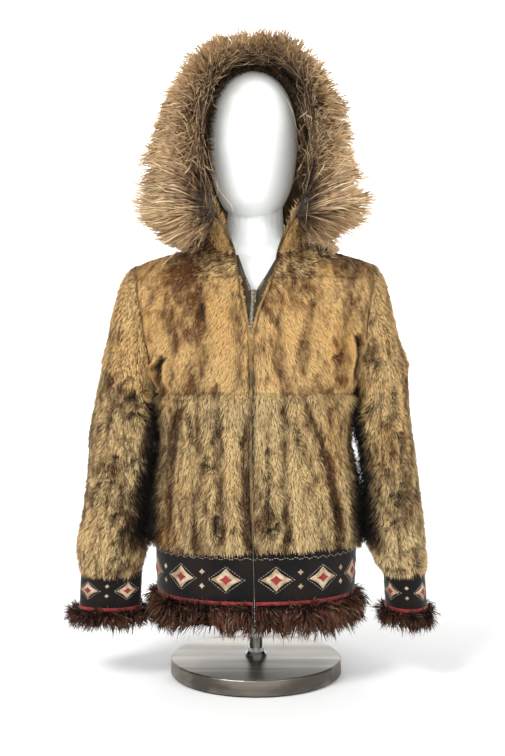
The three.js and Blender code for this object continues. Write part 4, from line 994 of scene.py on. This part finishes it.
def addRuff():
    whole, nearest = weldedMesh("ruff"), rimFinder()
    shell = bmesh.new()
    shell.from_mesh(whole)
    outline = BVHTree.FromBMesh(shell)
    shell.free()
    skin, roots = (subdivided(whole, *what) for what in ((1, "pelt_ruff"), (2, "ruffRoots")))
    dressRuff(skin, outline, nearest, False)
    dressRuff(roots, outline, nearest, True)
    pieces = [linkNew("pelt_ruff", coated(skin, hairFinish["ruff"]))]
    for name, strand, seed, sizes in (("ruff_underfur", "middle", 301, "under"),
                                      ("ruff_guard_hair", "long", 302, "guard")):
        hair = grow(name, roots, hairFinish["ruff"], strand, seed, ruff[sizes])
        clearFace(hair, strand)
        pressBack(hair.data)
        pieces.append(hair)
    return [finishPiece(piece, "fur_ruff", nodes=() if i else ("ruff",)) for i, piece in enumerate(pieces)]


made["ruff"] = addRuff()
print("ruff:", [len(piece.data.polygons) for piece in made["ruff"]])


# ---- cloth, hide, metal and gloss: one uneven finish that each material sets in its own way

def buildUnevenFinish():
    group, start, end = newGroup("unevenFinish", "ShaderNodeTree", {
        "Colour A": "Color", "Colour B": "Color", "Stretch": (1.0, 1.0, 1.0), "Clouds per metre": 12.0,
        "Grain per metre": 400.0, "Rough low": 0.5, "Rough high": 0.7, "Edge of patches": 0.12,
    }, {"Colour": "Color", "Roughness": "Float", "Height": "Float"})
    number, vector, _ = calculator(group)
    place = vector("MULTIPLY", addNode(group, "ShaderNodeTexCoord").outputs["Object"], start["Stretch"])
    cloud, grain = (
        addNode(group, "ShaderNodeTexNoise", {"Vector": place, "Scale": start[scale], "Detail": detail}).outputs[0]
        for scale, detail in (("Clouds per metre", 5.0), ("Grain per metre", 3.0)))
    share = ramp(group, cloud, number("SUBTRACT", 0.5, start["Edge of patches"]),
                 number("ADD", 0.5, start["Edge of patches"]))
    spread = number("SUBTRACT", start["Rough high"], start["Rough low"])
    results = {"Colour": mixColour(group, share, start["Colour A"], start["Colour B"]),
               "Roughness": number("ADD", start["Rough low"], number("MULTIPLY", spread, grain)),
               "Height": number("ADD", number("MULTIPLY", grain, 0.7), number("MULTIPLY", cloud, 0.3))}
    for name, output in results.items():
        group.links.new(output, end[name])
    return group


unevenFinish = buildUnevenFinish()
finishNames = ("Clouds per metre", "Grain per metre", "Rough low", "Rough high")


def finishMaterial(name, colourA, colourB, sizes, bump, relief, stretch=(1.0, 1.0, 1.0), threads=0, **shine):
    material, shader = newMaterial(name)
    tree = material.node_tree
    uneven = addNode(tree, "ShaderNodeGroup", node_tree=unevenFinish)
    setInputs(uneven, {"Colour A": srgb(*colourA), "Colour B": srgb(*colourB), "Stretch": stretch,
                       **dict(zip(finishNames, sizes))})
    height = uneven.outputs["Height"]
    if threads:
        # over and under threads of a woven tape
        number, _, _ = calculator(tree)
        place = addNode(tree, "ShaderNodeTexCoord").outputs["Object"]
        warp, weft = (addNode(tree, "ShaderNodeTexWave", {"Vector": place, "Scale": threads},
                              bands_direction=way).outputs["Fac"] for way in "XZ")
        height = number("ADD", number("MULTIPLY", height, 0.3), number("MULTIPLY", warp, weft))
    relieved = addNode(tree, "ShaderNodeBump", {"Strength": bump, "Distance": relief * mm, "Height": height})
    setInputs(shader, {"Base Color": uneven.outputs["Colour"], "Roughness": uneven.outputs["Roughness"],
                       "Normal": relieved.outputs[0]})
    setInputs(shader, {key.replace("_", " "): value for key, value in shine.items()})
    return material


# each row: two colours, the four sizes named above, strength and depth of the relief, then what only some have
finishLooks = {
    "band": ((7, 5, 5), (23, 15, 12), (16, 900, 0.72, 0.95), 0.5, 0.5,
             {"Sheen_Weight": 0.25, "Sheen_Roughness": 0.4, "Specular_IOR_Level": 0.2}),
    "creamHide": ((198, 180, 150), (150, 128, 98), (60, 1500, 0.6, 0.85), 0.4, 0.3, {}),
    "redCloth": ((150, 34, 36), (112, 20, 24), (90, 1600, 0.7, 0.95), 0.6, 0.5, {"Sheen_Weight": 0.2}),
    "paleThread": ((214, 206, 192), (176, 166, 150), (120, 2500, 0.6, 0.8), 0.3, 0.2, {}),
    "redThread": ((172, 30, 36), (120, 18, 22), (120, 2500, 0.6, 0.8), 0.3, 0.2, {}),
    "rawEdge": ((168, 134, 84), (84, 58, 30), (70, 1300, 0.65, 0.9), 0.7, 0.8, {"stretch": (1.0, 1.0, 0.5)}),
    "tape": ((70, 58, 42), (52, 42, 30), (40, 1200, 0.75, 0.95), 0.5, 0.35, {"threads": 420.0}),
    "brass": ((158, 150, 134), (112, 104, 90), (260, 1800, 0.28, 0.5), 0.12, 0.1, {"Metallic": 1.0}),
    "steel": ((132, 126, 116), (88, 83, 76), (5, 260, 0.3, 0.48), 0.05, 0.1,
              {"stretch": (0.35, 6.0, 6.0), "Metallic": 1.0}),
    "chrome": ((170, 168, 164), (140, 138, 134), (8, 300, 0.06, 0.14), 0.02, 0.1, {"Metallic": 1.0}),
    "rubber": ((30, 30, 30), (20, 20, 20), (20, 700, 0.7, 0.9), 0.3, 0.3, {}),
    # the form glows faintly: painted light that lifts its shaded sides
    "form": ((243, 245, 244), (236, 239, 238), (3, 200, 0.12, 0.2), 0.02, 0.2,
             {"Coat_Weight": 0.4, "Coat_Roughness": 0.08, "Emission_Color": (0.9, 0.93, 0.92, 1),
              "Emission_Strength": 0.1}),
}
finish = {name: finishMaterial(name, *look, **more) for name, (*look, more) in finishLooks.items()}


def smoothPiece(name, node, levels, look, slot):
    # a CAD node as a rounded, subdivided piece
    mesh = subdivided(weldedMesh(node), levels, name)
    return finishPiece(linkNew(name, coated(mesh, finish[look])), slot, nodes=(node,))


def reuse(node, look):
    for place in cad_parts[node].material_slots:
        place.material = finish[look]


# ---- hem and cuff bands, with cut-out lozenges and stitched lines

bands = {
    "clear": 12,  # no dart this near the opening
    "hem": {"middle": 182, "step": 84, "wide": 50, "tall": 36, "waves": (215,)},  # waves: stitched zigzag lines
    "cuff": {"middle": 149, "step": 62, "wide": 38, "tall": 26, "waves": ()},
    "plate": 0.9, "margin": 0.9,  # thickness of a cut-out, and how far its top is drawn in
    "waveTall": 4, "stitch": 3.2, "stitchGap": 1.3, "threadRadius": 0.38, "bow": 0.16, "sunk": -0.4,
}
corners = ((1, 0), (0, 1), (-1, 0), (0, -1))  # of a lozenge, in half widths and half heights


def ringAround(nodes, centre, height):
    # a way to lay flat shapes on a band: (distance round it, height) -> point and outward normal
    shell = bmesh.new()
    for node in nodes:
        shell.from_mesh(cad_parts[node].data)
    tree = BVHTree.FromBMesh(shell)
    shell.free()
    far = 0.5

    def hit(turn, z):
        way = Vector((math.cos(turn), math.sin(turn), 0))
        spot = tree.ray_cast(Vector((*centre(z), z)) + way * far, -way)
        return (None, None) if spot[0] is None or spot[3] > far else spot[:2]  # not through the front slit

    turns = [-math.pi / 2 + math.pi * (i - 180) / 180 for i in range(361)]  # from the back, 180 at the front
    lengths, last = [], None
    for turn in turns:
        spot = hit(turn, height * mm)[0] or last
        lengths.append(0 if last is None else lengths[-1] + (spot - last).length)
        last = spot
    half = float(np.interp(-math.pi / 2, turns, lengths))

    def place(u, z, lift):
        spot, normal = hit(float(np.interp(u * mm + half, lengths, turns)), z * mm)
        return None if spot is None else spot + normal * (lift * mm)

    return place, lengths[-1] / mm


def aroundLozenge(steps):
    # points along its four sides, and how far along a side each lies
    for (ax, az), (bx, bz) in zip(corners, corners[1:] + corners[:1]):
        for t in (i / steps for i in range(steps)):
            yield ax + (bx - ax) * t, az + (bz - az) * t, t


def lozengeMesh(shapes, place, name):
    # shapes: (u, z, half width, half height); each is a thin plate with a low rounded rim and bowed sides
    shell = bmesh.new()
    ring = [(a * bow, b * bow) for a, b, bow in
            ((a, b, 1 - bands["bow"] * math.sin(math.pi * t)) for a, b, t in aroundLozenge(5))]
    sunk, plate = bands["sunk"], bands["plate"]
    for u, z, wide, tall in shapes:
        layers = [(1.0, sunk), (1.0, plate * 0.6), (1 - bands["margin"] / wide, plate), (0.5, plate)]
        rows = [[place(u + a * wide * share, z + b * tall * share, lift) for a, b in ring]
                for share, lift in layers]
        middles = [place(u, z, lift) for lift in (sunk, plate)]
        if any(spot is None for row in rows + [middles] for spot in row):
            continue
        rows = [[shell.verts.new(spot) for spot in row] for row in rows]
        foot, head = (shell.verts.new(spot) for spot in middles)
        joinRings(shell, rows, closed=False)
        for i in range(len(ring)):
            after = (i + 1) % len(ring)
            shell.faces.new((rows[-1][i], rows[-1][after], head))
            shell.faces.new((rows[0][after], rows[0][i], foot))
    return toMesh(shell, name, recalculate=True)


def stitchTemplate():
    # one lying stitch along +Y, a unit long and a unit thick
    shell = bmesh.new()
    joinRings(shell, [[shell.verts.new((radius * across, y, radius * up)) for across, up in corners]
                      for y, radius in ((-0.5, 0.35), (-0.16, 1.0), (0.16, 1.0), (0.5, 0.35))])
    return linkNew("stitchTemplate", toMesh(shell, "stitchTemplate", recalculate=True))


def buildStitchTree():
    tree, start, end = newGroup("sewStitches", "GeometryNodeTree", {
        "Geometry": "Geometry", "Stitch": "Object", "Stitch length": 0.003, "Gap": 0.001, "Thread radius": 0.0004,
        "Seed": 1, "Finish": "Material",
    }, {"Geometry": "Geometry"})
    number, _, _ = calculator(tree)
    line = addNode(tree, "GeometryNodeMeshToCurve", {"Mesh": start["Geometry"]})
    step = number("ADD", start["Stitch length"], start["Gap"])
    spots = addNode(tree, "GeometryNodeCurveToPoints", {"Curve": line.outputs[0], "Length": step}, mode="LENGTH")
    turned = addNode(tree, "FunctionNodeAlignRotationToVector", {"Vector": spots.outputs["Tangent"]}, axis="Y")
    length = number("MULTIPLY", start["Stitch length"], randomValue(tree, 0.82, 1.1, start["Seed"]))
    size = addNode(tree, "ShaderNodeCombineXYZ",
                   {"X": start["Thread radius"], "Y": length, "Z": start["Thread radius"]}).outputs[0]
    sewn = realized(tree, spots.outputs["Points"], start["Stitch"], turned.outputs[0], size)
    return finished(tree, sewn, start, end)


stitchTree = buildStitchTree()
stitchShape = stitchTemplate()


def sew(name, lines, look, length, gap, seed):
    # lines: lists of points, with None where a line is broken; the stitches along all of them are one piece
    spots = [spot for line in lines for spot in [*line, None]]
    verts, edges = [], []
    for before, spot in zip([None, *spots], spots):
        if spot is not None:
            verts.append(spot[:])
            if before is not None:
                edges.append((len(verts) - 2, len(verts) - 1))
    mesh = meshes.new(name + "Lines")
    mesh.from_pydata(verts, edges, [])
    made[name] = runTree(name, linkNew(name + "Holder", mesh), stitchTree, {
        "Stitch": stitchShape, "Stitch length": length * mm, "Gap": gap * mm,
        "Thread radius": bands["threadRadius"] * mm, "Seed": seed, "Finish": finish[look]})
    smoothed(made[name].data)
    finishPiece(made[name], "band")


def outline(place, u, z, wide, tall, lift):
    points = [place(u + a * wide, z + b * tall, lift) for a, b, _ in aroundLozenge(4)]
    return points + points[:1]


def zigzag(place, around, step, z, tall):
    count = int(around / step) * 10
    return [place(-around / 2 + around * i / count, z + (tall / 2 if i % 2 else -tall / 2), 0.3)
            for i in range(count + 1)]


def addCutOuts(name, shapes, place, look):
    mesh = coated(lozengeMesh(shapes, place, name), finish[look])
    made[name] = finishPiece(linkNew(name, mesh), "band")


def addBand(name, nodes, centre, index):
    row = bands[name.split("_")[0]]
    height, wide, tall, plate = row["middle"], row["wide"] / 2, row["tall"] / 2, bands["plate"]
    place, around = ringAround(nodes, centre, height)
    count = 2 * max(2, round(around / row["step"] / 2))  # an even count leaves the opening clear
    step = around / count
    middles = [step * (i + 0.5) - around / 2 for i in range(count)]
    between = [u + step / 2 for u in middles if name != "hem" or abs(u + step / 2) > bands["clear"]]
    addCutOuts("lozenges_" + name, [(u, height, wide, tall) for u in middles], place, "creamHide")
    addCutOuts("hearts_" + name, [(u, height, wide * 0.42, tall * 0.42) for u in middles],
               lambda u, z, lift: place(u, z, lift + plate), "redCloth")
    addCutOuts("darts_" + name, [(u, height + shift, wide * 0.2, tall * 0.26) for u in between
                                 for shift in (-tall * 0.62, tall * 0.62)], place, "creamHide")
    rims = [outline(place, u, height, wide * 0.78, tall * 0.78, plate + 0.25) for u in middles]
    sew("red_stitches_" + name, rims, "redThread", bands["stitch"] * 0.7, 0.9, 40 + index)
    lines = [zigzag(place, around, step, z, bands["waveTall"]) for z in row["waves"]]
    lines += [outline(place, u, height, wide * 1.16, tall * 1.16, 0.3) for u in middles]
    sew("pale_stitches_" + name, lines, "paleThread", bands["stitch"], bands["stitchGap"], 50 + index)


# the hem's ring of shapes runs round the torso's axis, a cuff's round its sleeve's core
rings = {
    "hem": (["hem_band_right", "hem_band_left", "hem_band_back"], lambda z: (-6 * mm, 0)),
    "cuff_right": (["cuff_band_right"], lambda z: sleeveCore(z, -1)),
    "cuff_left": (["cuff_band_left"], lambda z: sleeveCore(z, 1)),
}
bandNodes = [node for nodes, _ in rings.values() for node in nodes]
for node in bandNodes:
    made[node] = smoothPiece("band_" + node, node, 2, "band", "band")
for index, (name, (nodes, centre)) in enumerate(rings.items()):
    addBand(name, nodes, centre, index)
print("bands:", {node: len(made[node].data.polygons) for node in bandNodes})


# ---- piping, zip, front edges, form and stand

fittings = {
    "toothStep": 3.1, "toothWide": 4.4, "toothDeep": 1.5, "toothTall": 1.7,
    "toothAhead": 0.9,  # of the tape's face
    "slider": 634, "sinkTop": 570, "sink": 3.6, "bandTop": 231, "hairFrom": 520,
    "endRise": 40, "endRows": 6, "endWide": 16,
    "edgeHair": (420000, 0.0062, 0.0011, 0.55, 0.4, 0.9, 60, 0.005, 0.5, 0.15, 0.1),
}


def toothShape():
    # a moulded tooth: a bar with a rounded head, 1 mm long, wide and tall
    rim = [(-0.5, -0.5), (0.16, -0.5), (0.34, -0.32), (0.5, -0.3), (0.5, 0.3), (0.34, 0.32), (0.16, 0.5), (-0.5, 0.5)]
    shell = bmesh.new()
    joinRings(shell, [[shell.verts.new((x * share, -depth, z * share)) for x, z in rim]
                      for depth, share in ((-0.5, 1.0), (0.3, 1.0), (0.5, 0.8))])
    return linkNew("toothShape", toMesh(shell, "toothShape", recalculate=True))


def buildTeethTree():
    tree, start, end = newGroup("setTeeth", "GeometryNodeTree", {
        "Geometry": "Geometry", "Tooth": "Object", "Tooth width": 0.0044, "Tooth depth": 0.0015,
        "Tooth height": 0.0017, "Finish": "Material",
    }, {"Geometry": "Geometry"})
    size = addNode(tree, "ShaderNodeCombineXYZ", {
        "X": start["Tooth width"], "Y": start["Tooth depth"], "Z": start["Tooth height"]}).outputs[0]
    rotation = addNode(tree, "FunctionNodeEulerToRotation", {"Euler": named(tree, "turn", "FLOAT_VECTOR")})
    return finished(tree, realized(tree, start["Geometry"], start["Tooth"], rotation.outputs[0], size), start, end)


def edgeOf(node, side):
    # the toothed edge of a tape, as rows of (z, x, y) from its own corners
    rows = {}
    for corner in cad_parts[node].data.vertices:
        x, y, z = corner.co
        best = rows.setdefault(round(z / mm), (z, x, y))
        if (-side * x, -y) > (-side * best[1], -best[2]):
            rows[round(z / mm)] = (z, x, y)
    return np.array([rows[key] for key in sorted(rows)])


def addTeeth():
    low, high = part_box("zip_chain")
    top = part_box("zip_tape_right")[1][2] / mm - 3
    step, wide, slider = fittings["toothStep"], fittings["toothWide"], fittings["slider"]
    spots, turns = [], []
    for side, node in ((-1, "zip_tape_right"), (1, "zip_tape_left")):
        edge = edgeOf(node, side)
        shift = 0 if side < 0 else step / 2
        for z in (*np.arange(low[2] / mm + shift, high[2] / mm, step), *np.arange(slider + 8 + shift, top, step)):
            x, above, below = (np.interp((z + up) * mm, edge[:, 0], edge[:, 1]) for up in (0, 1, -1))
            y = np.interp(z * mm, edge[:, 0], edge[:, 2])
            reach = wide * (0.12 if z < slider else 0.2)
            spots.append((x + side * reach * mm, y - fittings["toothAhead"] * mm, z * mm))
            turns.append((0, math.atan2(above - below, 2 * mm) + (0 if side < 0 else math.pi), 0))
    mesh = meshes.new("toothSpots")
    mesh.from_pydata(spots, [], [])
    putFields(mesh, turn=turns)
    shape = toothShape()
    teeth = runTree("zip_teeth", linkNew("toothSpots", mesh), buildTeethTree(), {
        "Tooth": shape, "Tooth width": wide * mm, "Tooth depth": fittings["toothDeep"] * mm,
        "Tooth height": fittings["toothTall"] * mm, "Finish": finish["brass"]})
    bpy.data.objects.remove(shape)
    return finishPiece(teeth, "zip_metal", nodes=("zip_chain",))


def addTapeEnd(name, node, side):
    # the last stretch of a tape, tucked behind the hood's edge
    edge = edgeOf(node, side)
    (low, x0, y0), slope = edge[-1], (edge[-1] - edge[-2]) / (edge[-1][0] - edge[-2][0])
    rows = []
    shell = bmesh.new()
    for share in (i / fittings["endRows"] for i in range(fittings["endRows"] + 1)):
        z = low - 0.002 + fittings["endRise"] * mm * share
        x, y = x0 + slope[1] * (z - low), y0 + slope[2] * (z - low) * 0.8
        wide = fittings["endWide"] * mm * (1 - 0.5 * share)
        section = ((0, 0), (wide, 0.0012), (wide, 0.0026), (0, 0.0014))  # across and deep, in metres
        rows.append([shell.verts.new((x + side * across, y + deep - 0.0006, z)) for across, deep in section])
    joinRings(shell, rows)
    mesh = toMesh(shell, name, recalculate=True)
    mesh.materials.append(finish["tape"])
    return finishPiece(linkNew(name, mesh), "zip_tape")


def addEdging(name, node, side, seed):
    # the pelts' turned edge at the front opening: bare hide with short hair along it
    edge = smoothPiece(name, node, 2, "rawEdge", "hide_edge")
    roots = subdivided(weldedMesh(node), 3, node + "Roots")
    for mesh in (edge.data, roots):
        p, _ = readPoints(mesh)
        top = fittings["sinkTop"]
        p[:, 1] += rise(-p[:, 2] / mm, -top, 60 - top) * fittings["sink"] * mm
        setPoints(mesh, p)
    edge.data.materials.append(finish["band"])
    for part in edge.data.polygons:
        part.material_index = int(part.center.z < fittings["bandTop"] * mm)
    p, n = readPoints(roots)
    outer = np.clip(-n[:, 1] * 1.2, 0, 1) * (p[:, 2] > fittings["hairFrom"] * mm)
    lay = unit(np.array([[-0.5 * side, -0.5, -0.6]]))
    putFields(roots, tone=0.3, warmth=0.5, growth=outer, hairScale=1, extraLift=0, lay=lay)
    hair = grow(name.replace("_", "_hair_"), roots, hairFinish["edge"], "short", seed, fittings["edgeHair"])
    return edge, finishPiece(hair, "hide_edge")


made["zip_teeth"] = addTeeth()
for node, look in (("zip_slider", "brass"), ("zip_pull", "brass"), ("stand_base", "steel"),
                   ("stand_pole", "chrome"), ("stand_collar", "chrome"), ("stand_foot_pad", "rubber")):
    reuse(node, look)
sides = (("right", -1), ("left", 1))
for side, sign in sides:
    tape = "zip_tape_" + side
    made["tape_" + side] = smoothPiece("tape_" + side, tape, 1, "tape", "zip_tape")
    made["tape_end_" + side] = addTapeEnd("tape_end_" + side, tape, sign)
    made["cuff_cord_" + side] = smoothPiece("cuff_cord_" + side, "cuff_piping_" + side, 2, "redCloth", "piping")
for part in ("right", "left", "back"):
    made["hem_cord_" + part] = smoothPiece("hem_cord_" + part, "hem_piping_" + part, 2, "redCloth", "piping")
for index, (side, sign) in enumerate(sides):
    made["edge_" + side] = addEdging("edge_" + side, "front_binding_" + side, sign, 320 + index)
made["form"] = smoothPiece("form", "dress_form", 2, "form", "form_shell")
print("zip, tapes, piping, edges, form and stand set:", len(made["zip_teeth"].data.polygons))


# ---- what each pelt, band and tape was cut to: width, length and area in metres

sheets = {
    "front_lower": (0.262, 0.254, 0.0615), "front_chest": (0.232, 0.190, 0.0400), "yoke": (0.185, 0.130, 0.0210),
    "back_lower": (0.480, 0.256, 0.1163), "back_upper": (0.445, 0.190, 0.0810),
    "sleeve_upper": (0.205, 0.250, 0.0390), "sleeve_lower": (0.305, 0.356, 0.1020),
    "hood_side": (0.255, 0.292, 0.0585), "hood_middle": (0.220, 0.378, 0.0820),
    "hem_trim": (0.300, 0.044, 0.0119), "cuff_trim": (0.300, 0.044, 0.0104), "hem_trim_back": (0.575, 0.044, 0.0230),
    "hood_edge": (0.042, 0.072, 0.0019), "hood_inner_fur": (0.335, 0.046, 0.0147), "ruff": (0.790, 0.072, 0.0520),
    "hem_band": (0.245, 0.086, 0.0196), "hem_band_back": (0.462, 0.086, 0.0380), "cuff_band": (0.282, 0.056, 0.0148),
    "edge": (0.012, 0.556, 0.0034), "tape": (0.022, 0.514, 0.0096), "tape_end": (0.018, 0.044, 0.0005),
}
# what a piece rests on, where that isn't the form, and which ornaments a band carries
restsOn = {"ruff": "pelt_hood_middle", "edge": "pelt_front_chest_", "tape": "pelt_front_lower_"}
ornaments = {"hem_band_right": "_hem", "cuff_band_right": "_cuff_right", "cuff_band_left": "_cuff_left"}


def declare(node, pieces):
    kind, side = kindOf(node)
    cut = node if node in sheets else kind
    if cut not in sheets:
        return
    piece, *others = pieces if isinstance(pieces, (tuple, list)) else [pieces]
    others += [made[name] for name in made if node in ornaments and name.endswith(ornaments[node])]
    rests = restsOn.get(kind, "form")
    if rests.endswith("_"):
        rests += "right" if side < 0 else "left"
    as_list(others)


atOpening = [kind + side for side, _ in sides for kind in ("edge_", "tape_")]
for node in [name for name in made if name not in atOpening] + atOpening:
    declare(node, made[node])

for template in (*strands.values(), stitchShape):
    bpy.data.objects.remove(template)
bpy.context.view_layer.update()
